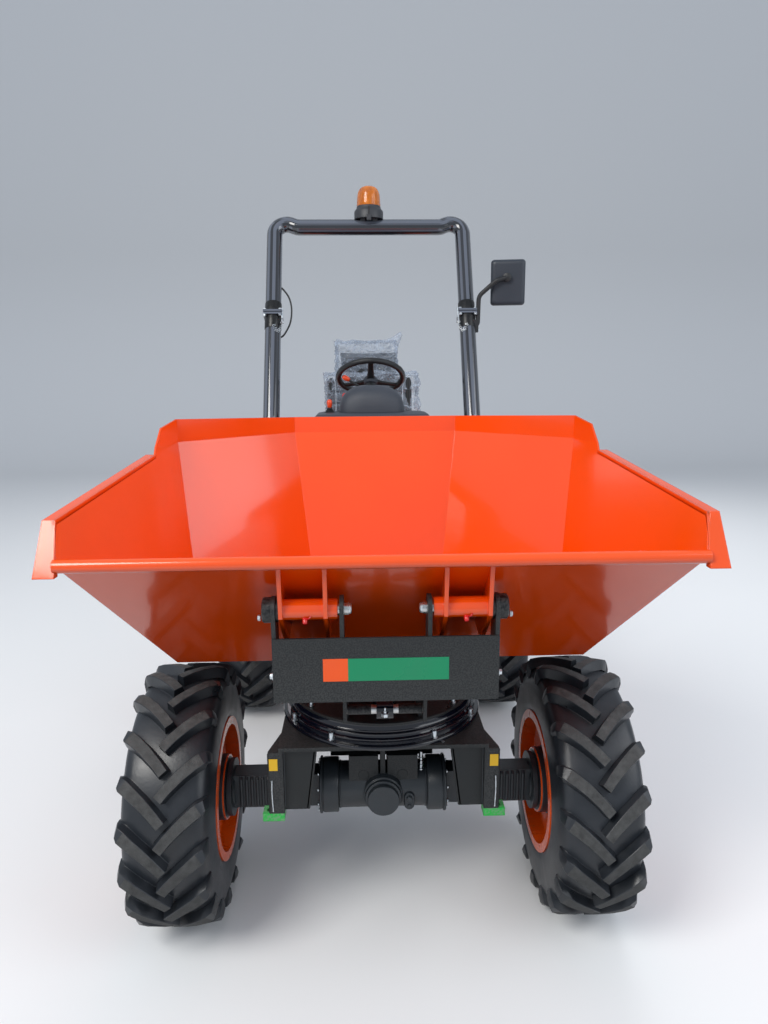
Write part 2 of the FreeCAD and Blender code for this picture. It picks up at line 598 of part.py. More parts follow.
def front_frame():
    """Deck, two side plates, a rear plate and the tongue that holds the articulation pin."""
    deck_front = s.front_axle_y - s.frame_front
    deck_back = s.front_axle_y + s.frame_back
    under = s.frame_top_z - s.frame_plate
    pieces = [box("deck", -s.frame_half_wide, s.frame_half_wide, deck_front, deck_back, under, s.frame_top_z)]
    side_points = [(deck_front, s.frame_nose_z), (s.front_axle_y - s.arm_wide / 2 - 30, s.frame_nose_z),
                   (s.front_axle_y - s.arm_wide / 2 - 10, s.frame_under_z),
                   (deck_back, s.frame_under_z), (deck_back, under), (deck_front, under)]
    for side_name, side in SIDES:
        span = both(side, s.frame_half_wide - s.frame_plate, s.frame_half_wide)
        pieces.append(plate("front_side_" + side_name, "x", side_points, *span))
        inner_x = s.frame_half_wide - s.frame_plate / 2
        web_points = [(side * inner_x, under), (side * (inner_x - s.front_web_wide), under),
                      (side * (inner_x - s.front_web_low_wide), s.frame_nose_z), (side * inner_x, s.frame_nose_z)]
        web_front = deck_front + s.front_web_back
        pieces.append(plate("front_web_" + side_name, "y", web_points, web_front, web_front + s.frame_plate))
        wing_points = [(side * inner_x, deck_front), (side * (s.frame_half_wide + s.wing_wide), deck_front),
                       (side * (s.frame_half_wide + s.wing_wide), deck_front + s.frame_plate),
                       (side * inner_x, s.front_axle_y - s.arm_wide / 2 - s.wing_gap)]
        pieces.append(plate("side_wing_" + side_name, "z", wing_points, s.frame_nose_z,
                            s.frame_top_z - s.wing_drop))
    behind_axle = s.front_axle_y + s.diff_collar_radius + 10
    pieces.append(box("cross_plate", -s.cross_half_wide, s.cross_half_wide, behind_axle,
                      behind_axle + s.frame_plate, s.tyre_radius + s.cross_low, under))
    pieces.append(box("front_rear_plate", -s.frame_half_wide, s.frame_half_wide, deck_back - s.frame_plate,
                      deck_back, s.tongue_low_z, under))
    tongue_back = pivot_y
    for level, low in (("low", s.tongue_low_z), ("high", s.tongue_high_z - s.tongue_plate)):
        pieces.append(box("tongue_" + level, -s.tongue_end_radius, s.tongue_end_radius,
                          deck_back - s.frame_plate, tongue_back, low, low + s.tongue_plate))
        pieces.append(rod("tongue_end_" + level, "z", s.tongue_end_radius, (0, pivot_y, low), s.tongue_plate))
    web_back = pivot_y - s.web_ahead
    for side_name, side in SIDES:
        span = both(side, s.tongue_end_radius - s.frame_plate, s.tongue_end_radius)
        pieces.append(box("web_" + side_name, span[0], span[1], deck_back - s.frame_plate, web_back,
                          s.tongue_low_z, s.tongue_high_z))
    lug_y = pivot_y - s.steer_eye_ahead
    eye_half = s.steer_lug_gap + s.ram_eye_half * 0.5
    for level, low in (("low", s.steer_z - eye_half - s.frame_plate), ("high", s.steer_z + eye_half)):
        pieces.append(box("steer_lug_" + level, -s.steer_x - 28, -s.tongue_end_radius + s.frame_plate / 2,
                          lug_y - 28, lug_y + 28 - 18, low, low + s.frame_plate))
    bore = rod("tongue_bore", "z", s.pivot_pin_radius + s.pin_clearance,
               (0, pivot_y, s.tongue_low_z - 10), s.tongue_high_z - s.tongue_low_z + 20)
    keep("front_frame", without("front_frame", joined("front_frame_solid", *pieces), bore))


def tie_down_plates():
    """A flat plate with a hole under the front end of each side plate."""
    front = s.front_axle_y - s.frame_front
    plates = []
    for side_name, side in SIDES:
        span = both(side, s.frame_half_wide - s.frame_plate, s.frame_half_wide + s.hook_out)
        hole_x = side * (s.frame_half_wide + s.hook_out - s.hook_hole - s.hook_edge)
        plates.append(without("hook_" + side_name,
                              box("hook_plate_" + side_name, span[0], span[1], front, front + s.hook_long,
                                  s.frame_nose_z - s.hook_thick, s.frame_nose_z),
                              rod("hook_hole_" + side_name, "z", s.hook_hole,
                                  (hole_x, front + s.hook_long / 2, s.frame_nose_z - s.hook_thick * 2),
                                  s.hook_thick * 3)))
    keep("tie_down_plates", apart("tie_down_plates", *plates))


def slew_rings():
    """The fixed ring on the deck, and the plate that turns on it."""
    ring_outer = [(0, s.ring_bore), (0, s.ring_radius), (10, s.ring_radius), (10, s.ring_radius - 12),
                  (s.ring_tall, s.ring_radius - 24), (s.ring_tall, s.ring_bore)]
    keep("slew_ring", turned("slew_ring", "z", ring_outer, (0, ring_y, s.frame_top_z)))
    table = [(0, 0), (0, s.table_radius), (s.table_thick, s.table_radius - 6), (s.table_thick, 0)]
    keep("swivel_plate", turned("swivel_plate", "z", table, (0, ring_y, table_z)))


def swivel_frame():
    """Ribs and ears on the swivel plate, the faceplate across them and the shelf behind it."""
    top = table_z + s.table_thick
    front = s.front_axle_y - s.face_ahead
    ear_front = tip_y - s.ear_radius
    ear_back = tip_y + s.ear_radius
    ram_y = s.front_axle_y - s.ram_base_ahead
    inner = [(front + s.face_thick / 2, s.face_low_z), (front + s.face_thick / 2, s.face_high_z - 10),
             (ear_front, s.pin_z), (ear_back, s.pin_z),
             (ear_back + 10, s.face_high_z - 50), (s.front_axle_y - 200, s.shelf_z - 40),
             (ring_y + 10, top + 40), (ring_y + 10, top), (ring_y - s.table_radius + 38, top),
             (ring_y - s.table_radius + 30, top + 45), (ram_y + s.ram_lug, s.ram_z - s.ram_lug),
             (ram_y - s.ram_lug, s.ram_z - s.ram_lug), (ram_y - s.ram_lug - 14, s.face_low_z - 60)]
    outer = [(front + s.face_thick / 2, s.face_low_z), (front + s.face_thick / 2, s.face_high_z - 10),
             (ear_front, s.pin_z), (ear_back, s.pin_z),
             (ear_back + 10, s.face_high_z - 50), (s.front_axle_y - s.shelf_back, s.shelf_z + 25),
             (s.front_axle_y - s.shelf_back, s.shelf_z - 10), (front + 60, s.shelf_z - 10)]
    pieces = [box("faceplate", -s.face_half_wide, s.face_half_wide, front, front + s.face_thick,
                  s.face_low_z, s.face_high_z)]
    holes = []
    for side_name, side in SIDES:
        for kind, middle, points in (("inner", s.inner_ear_x, inner), ("outer", s.outer_ear_x, outer)):
            span = both(side, middle - s.ear_thick / 2, middle + s.ear_thick / 2)
            pieces.append(plate(kind + "_rib_" + side_name, "x", points, *span))
            pieces.append(rod(kind + "_ear_" + side_name, "x", s.ear_radius, (span[0], tip_y, s.pin_z), s.ear_thick))
        shelf_x = both(side, s.inner_ear_x, s.outer_ear_x)
        pieces.append(box("shelf_" + side_name, shelf_x[0], shelf_x[1], front + s.face_thick / 2,
                          s.front_axle_y - s.shelf_back, s.shelf_z, s.shelf_z + s.face_thick))
        bore_x = both(side, s.inner_ear_x - 40, s.outer_ear_x + 40)
        holes.append(rod("ear_bore_" + side_name, "x", s.pin_radius + s.pin_clearance,
                         (bore_x[0], tip_y, s.pin_z), s.outer_ear_x - s.inner_ear_x + 80))
    holes.append(rod("ram_bore", "x", s.ram_pin_radius + s.pin_clearance, (-200, ram_y, s.ram_z), 400))
    keep("swivel_frame", without("swivel_frame", joined("swivel_frame_solid", *pieces), *holes))
    pins = []
    for side_name, side in SIDES:
        low, high = s.inner_ear_x - s.ear_thick / 2 - 12, s.outer_ear_x + s.ear_thick / 2
        pin_x = both(side, low, high)
        cap_x = both(side, high, high + s.pin_head)
        pins.append(joined("tip_pin_" + side_name,
                           rod("tip_shaft_" + side_name, "x", s.pin_radius, (pin_x[0], tip_y, s.pin_z), high - low),
                           rod("tip_cap_" + side_name, "x", s.ear_radius - 5, (cap_x[0], tip_y, s.pin_z), s.pin_head)))
    half = s.inner_ear_x + s.ear_thick / 2
    pins.append(rod("ram_base_pin", "x", s.ram_pin_radius, (-half, ram_y, s.ram_z), half * 2))
    keep("tip_pins", apart("tip_pins", *pins))


def skip_planes():
    """The tub's walls as (point, outward normal), from the skip's named corners."""
    y0 = s.front_axle_y.value
    front_top = Vector(0, y0 - s.lip_ahead.value, s.lip_z.value)
    front_foot = Vector(s.floor_half_wide.value, y0 - s.floor_ahead.value, s.floor_z.value)
    back_top = Vector(s.back_half_wide.value, y0 + s.back_behind.value, s.fold_z.value)
    back_foot = Vector(0, y0 + s.back_floor_behind.value, s.floor_z.value)
    corner = Vector(s.corner_x.value, y0 + s.corner_behind.value, s.fold_z.value)
    rail = Vector(s.rail_front_x.value, y0 - s.rail_front_ahead.value, s.rail_front_z.value)
    across = Vector(1, 0, 0)
    front = (front_foot - front_top)
    front = Vector(0, front.y, front.z).cross(across)
    back = (back_top - back_foot)
    back = Vector(0, back.y, back.z).cross(across)
    side = (rail - front_foot).cross(corner - front_foot)
    seam_y = y0 + s.seam_behind.value
    angled_foot = Vector(front_foot.x - (seam_y - front_foot.y) * side.y / side.x, seam_y, s.floor_z.value)
    angled = (corner - angled_foot).cross(back_top - angled_foot)
    inside = Vector(0, y0, s.fold_z.value)
    walls = []
    for point, normal in ((front_foot, front), (back_foot, back), (front_foot, side), (angled_foot, angled),
                          (back_foot, Vector(0, 0, -1))):
        normal.normalize()
        if normal.dot(inside - point) > 0:
            normal = normal * -1
        walls.append((point, normal))
        if abs(normal.x) > 1e-6:
            walls.append((Vector(-point.x, point.y, point.z), Vector(-normal.x, normal.y, normal.z)))
    return walls


def skip_reach():
    """A distance from the front axle that lies well outside the skip."""
    return s.lip_ahead.value + s.back_behind.value + s.corner_x.value


def convex(walls, offset, low, high):
    """The solid between planes, each moved outwards by the offset."""
    reach = skip_reach()
    block = Part.makeBox(2 * reach, 2 * reach, high - low, Vector(-reach, s.front_axle_y.value - reach, low))
    far = 5 * reach
    for point, normal in walls:
        if abs(normal.z) > 0.999:
            continue
        turn = FreeCAD.Rotation(Vector(0, 0, 1), normal)
        cutter = Part.makeBox(2 * far, 2 * far, far, Vector(-far, -far, 0))
        cutter.Placement = FreeCAD.Placement(point + normal * offset, turn)
        block = block.cut(cutter)
    return block


def skip():
    """The tub of folded plate, its rolled lip and rails, and the brackets below it."""
    y0 = s.front_axle_y.value
    walls = skip_planes()
    wall = s.skip_wall.value
    floor, fold, top = s.floor_z.value, s.fold_z.value, s.band_side_z.value + wall
    reach = skip_reach()
    shell = convex(walls, wall, floor - wall, fold).cut(convex(walls, 0, floor, fold))
    corner = Vector(s.corner_x.value, y0 + s.corner_behind.value, 0)
    back = Vector(s.back_half_wide.value, y0 + s.back_behind.value, 0)
    slant = (back - corner).cross(Vector(0, 0, 1)).normalize()
    if slant.x < 0:
        slant = slant * -1
    step_y = y0 + s.step_low_behind.value
    step = Vector(side_x(step_y, fold), step_y, 0)
    along = (step - corner).cross(Vector(0, 0, -1)).normalize()
    if along.x < 0:
        along = along * -1
    upright = [(corner, along), (Vector(-corner.x, corner.y, 0), Vector(-along.x, along.y, 0)),
               (back, Vector(0, 1, 0)), (corner, slant),
               (Vector(-corner.x, corner.y, 0), Vector(-slant.x, slant.y, 0)),
               (Vector(0, step_y, 0), Vector(0, -1, 0))]
    outer = convex(upright[:5], wall, fold, top)
    inner = convex(upright[:5], 0, fold, top)
    front_cut = Part.makeBox(2 * reach, reach, 2 * top, Vector(-reach, step_y - reach, 0))
    band = outer.cut(inner).cut(front_cut)
    rim = [(-s.lip_ahead.value, s.lip_z.value), (-s.rail_front_ahead.value, s.rail_front_z.value),
           (s.step_low_behind.value, s.step_low_z.value), (s.step_high_behind.value, s.step_high_z.value),
           (s.corner_behind.value, s.band_side_z.value), (s.back_behind.value, s.band_back_z.value),
           (reach, s.band_back_z.value), (reach, 2 * top), (-reach, 2 * top), (-reach, s.lip_z.value)]
    over = Part.Face(Part.makePolygon([Vector(-reach, y0 + y, z) for y, z in rim + rim[:1]]))
    over = over.extrude(Vector(2 * reach, 0, 0))
    keep("skip_tub", shaped("skip_tub", shell.fuse(band).cut(over).removeSplitter()))


def panel_z(y):
    """Height of the front panel's inner face."""
    run = s.lip_ahead - s.floor_ahead
    return s.lip_z - (y - s.front_axle_y + s.lip_ahead) * (s.lip_z - s.floor_z) / run


def side_x(y, z):
    """Half width of the side panel's inner face."""
    point, normal = skip_planes()[2]
    return point.x - ((y - point.y) * normal.y + (z - point.z) * normal.z) / normal.x


def skip_rim():
    """The rolled front lip and the rails along the sides, seated on the tub."""
    y0 = s.front_axle_y.value
    inset, set_back = 2, 4
    radius, deep = s.lip_radius.value, s.rail_deep.value
    roll = Vector(0, y0 - s.lip_ahead.value - set_back, s.lip_z.value - set_back - inset)
    half = side_x(roll.y, roll.z) + s.skip_wall.value
    foot = Vector(0, roll.y - radius, roll.z - radius - s.lip_drop.value)
    front = Vector(0, y0 - s.rail_front_ahead.value, s.rail_front_z.value)
    step = Vector(0, y0 + s.step_low_behind.value, s.step_low_z.value)
    wide = s.rail_wide.value
    # each rail in two lengths, by where it is, how wide, and how its depth goes backwards or down
    lengths = [((foot, s.lip_band.value, deep, 0), (front, wide, deep, 0)),
               ((front, wide, 0, deep), (step, wide, 0, deep))]
    pieces = [Part.makeCylinder(radius, 2 * half, roll - Vector(half, 0, 0), Vector(1, 0, 0))]
    for side in (1, -1):
        for ends in lengths:
            sections = []
            for point, across, back, drop in ends:
                x = side_x(point.y, max(point.z, roll.z))
                ring = [Vector(side * px, py, pz) for px, py, pz in (
                    (x - inset, point.y, point.z), (x + across, point.y, point.z),
                    (x + across, point.y + back, point.z - drop), (x - inset, point.y + back, point.z - drop))]
                sections.append(Part.makePolygon(ring + ring[:1]))
            pieces.append(Part.makeLoft(sections, True, True))
    rim = pieces[0].fuse(pieces[1:])
    keep("skip_rim", shaped("skip_rim", rim.cut(nodes["skip_tub"].Shape).removeSplitter()))


def skip_hinges():
    """Two plates and a boss on each side under the front panel."""
    y0 = s.front_axle_y
    wall = s.skip_wall * 0.67
    top_y = y0 - s.lip_ahead + 16
    low_y = y0 - s.bracket_root_ahead
    points = [(top_y, panel_z(top_y) - wall), (tip_y - s.boss_radius - 8, s.pin_z + 10),
              (tip_y - s.boss_radius - 6, s.pin_z - 14), (tip_y + 74, s.pin_z - 103),
              (tip_y + 100, s.pin_z - 112), (low_y, panel_z(low_y) - wall)]
    pieces = []
    for side_name, side in SIDES:
        plates = []
        for kind, middle in (("inner", s.bracket_inner_x), ("outer", s.bracket_outer_x)):
            span = both(side, middle - s.bracket_thick / 2, middle + s.bracket_thick / 2)
            plates.append(plate("hinge_%s_%s" % (kind, side_name), "x", points, *span))
        span = both(side, s.boss_inner_x, s.boss_outer_x)
        plates.append(rod("boss_" + side_name, "x", s.boss_radius, (span[0], tip_y, s.pin_z),
                          s.boss_outer_x - s.boss_inner_x))
        bore = rod("boss_bore_" + side_name, "x", s.pin_radius + s.pin_clearance, (span[0] - 5, tip_y, s.pin_z),
                   s.boss_outer_x - s.boss_inner_x + 10)
        pieces.append(without("hinge_" + side_name, joined("hinge_solid_" + side_name, *plates), bore,
                              nodes["skip_tub"], nodes["skip_rim"]))
    eye_y = y0 + s.ram_eye_behind
    root_z = s.floor_z - s.skip_wall * 0.9
    points = [(eye_y - s.clevis_ahead, root_z), (eye_y + s.clevis_back, root_z),
              (eye_y + 26, s.ram_z), (eye_y + 14, s.ram_z - 26), (eye_y - 14, s.ram_z - 26),
              (eye_y - 30, s.ram_z)]
    for side_name, side in SIDES:
        span = both(side, s.clevis_x - s.bracket_thick / 2, s.clevis_x + s.bracket_thick / 2)
        head = both(side, s.clevis_x + s.bracket_thick / 2, s.clevis_x + s.bracket_thick / 2 + 8)
        solid = joined("clevis_solid_" + side_name, plate("clevis_plate_" + side_name, "x", points, *span),
                       rod("clevis_head_" + side_name, "x", 18, (head[0], eye_y, s.ram_z), 8))
        pieces.append(without("clevis_" + side_name, solid, nodes["skip_tub"]))
    keep("skip_brackets", apart("skip_brackets", *pieces))


def tip_cylinder():
    """Barrel on its pin below the skip, and the rod that runs in it."""
    base_y = s.front_axle_y - s.ram_base_ahead
    eye_y = s.front_axle_y + s.ram_eye_behind
    end = base_y + s.ram_barrel_long
    solid = joined("tip_barrel_solid",
                   rod("tip_tube", "y", s.ram_barrel_radius, (0, base_y + 18, s.ram_z), s.ram_barrel_long - 18),
                   rod("tip_gland", "y", s.ram_barrel_radius + 4, (0, end - s.ram_gland, s.ram_z), s.ram_gland),
                   rod("tip_base_eye", "x", s.ram_eye_radius, (-s.ram_eye_half, base_y, s.ram_z),
                       s.ram_eye_half * 2))
    keep("tip_barrel", without("tip_barrel", solid,
                               rod("tip_base_bore", "x", s.ram_pin_radius + s.pin_clearance,
                                   (-s.ram_eye_half - 10, base_y, s.ram_z), s.ram_eye_half * 2 + 20),
                               rod("tip_rod_bore", "y", s.ram_rod_radius + s.rod_clearance,
                                   (0, base_y + s.ram_bore_start, s.ram_z), s.ram_barrel_long)))
    start = base_y + s.ram_bore_start + 5
    keep("tip_rod", joined("tip_rod",
                           rod("tip_rod_shaft", "y", s.ram_rod_radius, (0, start, s.ram_z), eye_y - start),
                           rod("tip_rod_eye", "x", s.ram_eye_radius, (-s.ram_eye_half, eye_y, s.ram_z),
                               s.ram_eye_half * 2)))


def steering_cylinder():
    """Barrel on the rear frame and rod to the lugs on the tongue, both along the machine."""
    base_y = pivot_y + s.steer_base_behind
    eye_y = pivot_y - s.steer_eye_ahead
    end = base_y - s.steer_barrel_long
    half = s.ram_eye_half * 0.5
    x = -s.steer_x
    solid = joined("steering_barrel_solid",
                   rod("steering_tube", "y", s.steer_barrel_radius, (x, end, s.steer_z),
                       s.steer_barrel_long - s.steer_neck),
                   rod("steering_neck", "y", s.steer_rod_radius, (x, base_y - s.steer_neck - 2, s.steer_z),
                       s.steer_neck),
                   rod("steering_base_eye", "z", s.ram_eye_radius - 3, (x, base_y, s.steer_z - half), half * 2))
    keep("steering_barrel", without("steering_barrel", solid,
                                    rod("steering_bore", "y", s.steer_rod_radius + s.rod_clearance,
                                        (x, end - 10, s.steer_z), s.steer_barrel_long - 2 * s.steer_neck + 10)))
    keep("steering_rod", joined("steering_rod",
                                rod("steering_shaft", "y", s.steer_rod_radius, (x, eye_y, s.steer_z),
                                    base_y - 2 * s.steer_neck - s.steer_stroke - eye_y),
                                rod("steering_eye", "z", s.ram_eye_radius - 3, (x, eye_y, s.steer_z - half),
                                    half * 2)))


def rear_frame():
    """Nose with the pivot barrel, front and rear plates, side plates and the steering cylinder's lugs."""
    front = pivot_y + s.rear_front
    back = rear_axle_y + s.rear_end
    low = s.tongue_low_z + s.tongue_plate + s.pivot_gap
    high = s.tongue_high_z - s.tongue_plate - s.pivot_gap
    half = s.rear_half_wide
    step_y = rear_axle_y - s.tyre_radius - s.step_gap - s.step_long
    pieces = [rod("pivot_barrel", "z", s.post_radius, (0, pivot_y, low), high - low),
              box("nose", -s.nose_half_wide, s.nose_half_wide, pivot_y, front, low, high),
              box("rear_front_plate", -half, half, front, front + s.frame_plate, s.frame_under_z, s.rear_top_z),
              box("rear_end_plate", -half, half, back - s.frame_plate, back, s.frame_under_z, s.rear_top_z),
              box("rear_cross", -half, half, rear_axle_y + 240, rear_axle_y + 240 + s.frame_plate,
                  s.frame_under_z, s.frame_under_z + 120)]
    for side_name, side in SIDES:
        span = both(side, half - s.frame_plate, half)
        pieces.append(box("rear_side_" + side_name, span[0], span[1], front, back, s.frame_under_z,
                          s.rear_top_z))
        arm = both(side, half, half + s.frame_plate)
        pieces.append(box("step_arm_" + side_name, arm[0], arm[1], step_y, front + 60,
                          s.step_z - s.step_thick + 60, s.step_z + 90))
    lug_y = pivot_y + s.steer_base_behind
    eye_half = s.steer_lug_gap + s.ram_eye_half * 0.5
    for level, start in (("low", s.steer_z - eye_half - s.frame_plate), ("high", s.steer_z + eye_half)):
        pieces.append(box("rear_lug_" + level, -s.steer_x - 26, -s.steer_x + 26, lug_y - 26, front, start,
                          start + s.frame_plate))
    for level, start in (("low", s.steer_z - eye_half - s.frame_plate), ("high", s.steer_z + eye_half)):
        pieces.append(rod("rear_lug_head_" + level, "z", 16, (-s.steer_x, lug_y, start - 6), s.frame_plate + 12))
    bore = rod("post_bore", "z", s.pivot_pin_radius + 0.3, (0, pivot_y, low - 10), high - low + 20)
    slot = rod("eye_gap", "z", 30, (-s.steer_x, lug_y, s.steer_z - eye_half), eye_half * 2)
    keep("rear_frame", without("rear_frame", joined("rear_frame_solid", *pieces), bore, slot))
    pin_low = s.tongue_low_z - 1 - s.pin_head
    pin_high = s.tongue_high_z + 1
    keep("pivot_pin", joined("pivot_pin",
                             rod("pivot_shaft", "z", s.pivot_pin_radius, (0, pivot_y, pin_low),
                                 pin_high - pin_low + s.pin_head),
                             rod("pivot_foot", "z", s.pivot_pin_radius + 14, (0, pivot_y, pin_low), s.pin_head),
                             rod("pivot_head", "z", s.pivot_pin_radius + 14, (0, pivot_y, pin_high), s.pin_head)))
    steps = []
    for side_name, side in SIDES:
        span = both(side, half + s.frame_plate, s.step_out_x)
        steps.append(box("step_" + side_name, span[0], span[1], step_y, step_y + s.step_long,
                         s.step_z, s.step_z + s.step_thick))
    keep("steps", apart("steps", *steps))


def platform():
    """Floor over the rear wheels, and the mudguards' arcs below it."""
    front = rear_axle_y - s.platform_front
    back = rear_axle_y + s.hood_front - 6
    floor_z = s.rear_top_z
    keep("platform", box("platform", -s.platform_half_wide, s.platform_half_wide, front, back, floor_z,
                         floor_z + s.platform_thick))
    inner = s.tyre_radius + s.guard_gap
    reach = inner + s.guard_wall + 10
    arcs = []
    for side_name, side in SIDES:
        span = both(side, s.guard_inner_x, s.guard_outer_x)
        ring = without("guard_ring_" + side_name,
                       rod("guard_out_" + side_name, "x", inner + s.guard_wall,
                           (span[0], rear_axle_y, s.tyre_radius), s.guard_outer_x - s.guard_inner_x),
                       rod("guard_in_" + side_name, "x", inner, (span[0] - 5, rear_axle_y, s.tyre_radius),
                           s.guard_outer_x - s.guard_inner_x + 10))
        arcs.append(without("guard_" + side_name, ring,
                            box("guard_foot_" + side_name, span[0] - 10, span[1] + 10, rear_axle_y - reach,
                                rear_axle_y + reach, s.tyre_radius - reach, s.tyre_radius + s.guard_low),
                            box("guard_head_" + side_name, span[0] - 10, span[1] + 10, rear_axle_y - reach,
                                rear_axle_y + reach, floor_z, floor_z + reach)))
    keep("mudguards", apart("mudguards", *arcs))


def engine_and_tanks():
    """One plain block for the engine, two tanks beside the frame and the rear weight."""
    end = rear_axle_y + s.rear_end - s.engine_gap
    front = end - s.engine_long
    side = s.rear_half_wide - s.frame_plate
    low = s.frame_under_z + s.engine_up
    foot_low = low + s.foot_tall / 2
    block = [box("engine_body", -s.engine_half_wide, s.engine_half_wide, front, end, low, low + s.engine_tall)]
    for kind, foot in (("front", front + s.foot_in), ("rear", end - s.foot_in - s.foot_long)):
        block.append(box("engine_%s_feet" % kind, -side, side, foot, foot + s.foot_long, foot_low,
                         foot_low + s.foot_tall))
    keep("engine_block", joined("engine_block", *block))
    tanks = []
    for side_name, sign in SIDES:
        span = both(sign, s.rear_half_wide, s.hood_half_wide + s.side_beyond)
        tanks.append(box("tank_" + side_name, span[0], span[1], rear_axle_y + s.tyre_radius + s.tank_gap,
                         rear_axle_y + s.rear_end - s.tank_end_gap, s.frame_under_z + 30, s.rear_top_z - 20))
    keep("side_tanks", apart("side_tanks", *tanks))
    back = rear_axle_y + s.rear_end
    half = s.hood_half_wide + s.side_beyond
    weight = box("rear_weight", -half, half, back, back + s.bumper_deep, s.frame_under_z, s.bumper_top_z)
    jaw = []
    for level, low in (("low", s.hitch_z - s.hitch_open / 2 - s.frame_plate),
                       ("high", s.hitch_z + s.hitch_open / 2)):
        jaw.append(box("jaw_" + level, -s.hitch_half_wide, s.hitch_half_wide, back + s.bumper_deep,
                       back + s.bumper_deep + s.hitch_long, low, low + s.frame_plate))
    pin_hole = rod("jaw_hole", "z", s.hitch_hole,
                   (0, back + s.bumper_deep + s.hitch_long - 26, s.hitch_z - 60), 120)
    hinge_y, hinge_z = back + s.hinge_back, s.bumper_top_z + s.hinge_up
    knuckles = []
    for side_name, sign in SIDES:
        for kind, near in (("near", s.hinge_x - s.hinge_half - s.hinge_long), ("far", s.hinge_x + s.hinge_half)):
            span = both(sign, near, near + s.hinge_long)
            knuckles.append(rod("hood_knuckle_%s_%s" % (kind, side_name), "x", s.hinge_radius,
                                (span[0], hinge_y, hinge_z), s.hinge_long))
            knuckles.append(box("hood_lug_%s_%s" % (kind, side_name), span[0], span[1], hinge_y - s.hinge_radius,
                                hinge_y + s.hinge_radius, s.bumper_top_z, hinge_z))
        reach = s.hinge_half + s.hinge_long
        span = both(sign, s.hinge_x - reach, s.hinge_x + reach)
        knuckles.append(rod("hood_pin_" + side_name, "x", s.hinge_pin, (span[0], hinge_y, hinge_z), reach * 2))
    solid = joined("rear_bumper_solid", weight, *(jaw + knuckles))
    keep("rear_bumper", without("rear_bumper", solid, pin_hole))
    lamps = []
    for side_name, sign in SIDES:
        out = s.hood_half_wide + s.lamp_beyond
        span = both(sign, out - s.lamp_wide, out)
        top = s.bumper_top_z - s.lamp_below
        lamps.append(box("lamp_" + side_name, span[0], span[1], back + s.bumper_deep,
                         back + s.bumper_deep + s.lamp_deep, top - s.lamp_tall, top))
    keep("tail_lamps", apart("tail_lamps", *lamps))


def hood_and_seat():
    """Hollow engine hood hinged at its rear foot, with the seat on it."""
    front = rear_axle_y + s.hood_front
    back = rear_axle_y + s.rear_end - 8
    slope, drop = s.hood_slope, s.hood_slope_drop
    profile = [(front, s.hood_low_z), (back, s.hood_low_z), (back, s.hood_top_z - drop), (back - slope, s.hood_top_z),
               (front + 30, s.hood_top_z), (front, s.hood_top_z - 40)]
    wall = s.hood_wall
    hollow = [(front + wall, s.hood_low_z - 20), (back - wall, s.hood_low_z - 20),
              (back - wall, s.hood_top_z - drop - wall), (back - slope - wall, s.hood_top_z - wall),
              (front + 30 + wall, s.hood_top_z - wall), (front + wall, s.hood_top_z - 40 - wall)]
    half = s.hood_half_wide
    shell = without("hood_shell", plate("hood_outside", "x", profile, -half, half),
                    plate("hood_inside", "x", hollow, wall - half, half - wall))
    end = rear_axle_y + s.rear_end
    hinge_y, hinge_z = end + s.hinge_back, s.bumper_top_z + s.hinge_up
    leaves, holes = [], []
    for side_name, side in SIDES:
        span = both(side, s.hinge_x - s.hinge_half + 1, s.hinge_x + s.hinge_half - 1)
        leaves.append(box("hood_leaf_" + side_name, span[0], span[1], back - wall / 2, hinge_y,
                          s.hood_low_z, s.hood_low_z + 6))
        leaves.append(rod("hood_eye_" + side_name, "x", s.hinge_radius, (span[0], hinge_y, hinge_z),
                          s.hinge_half * 2 - 2))
        holes.append(rod("hood_eye_bore_" + side_name, "x", s.hinge_pin + 0.3, (span[0] - 5, hinge_y, hinge_z),
                         s.hinge_half * 2 + 8))
    keep("engine_hood", without("engine_hood", joined("hood_solid", shell, *leaves), *holes))
    seat_y = rear_axle_y + s.seat_front
    seat_z = s.hood_top_z + s.soft_gap
    keep("seat_cushion", box("seat_cushion", -s.seat_half_wide, s.seat_half_wide, seat_y, seat_y + s.seat_long,
                             seat_z, seat_z + s.seat_thick))
    back_y = seat_y + s.seat_long + s.soft_gap
    parts = [box("back_upper", -s.back_half_width, s.back_half_width, back_y, back_y + s.back_thick, seat_z,
                 s.back_top_z),
             box("back_lower", -s.seat_half_wide, s.seat_half_wide, back_y, back_y + s.back_thick, seat_z,
                 s.hip_top_z)]
    for side_name, side in SIDES:
        span = both(side, s.seat_half_wide - s.hip_thick, s.seat_half_wide)
        parts.append(box("hip_rest_" + side_name, span[0], span[1], back_y - s.hip_long, back_y + s.back_thick,
                         seat_z + s.seat_thick + s.soft_gap, s.hip_top_z))
    keep("seat_backrest", joined("seat_backrest", *parts))


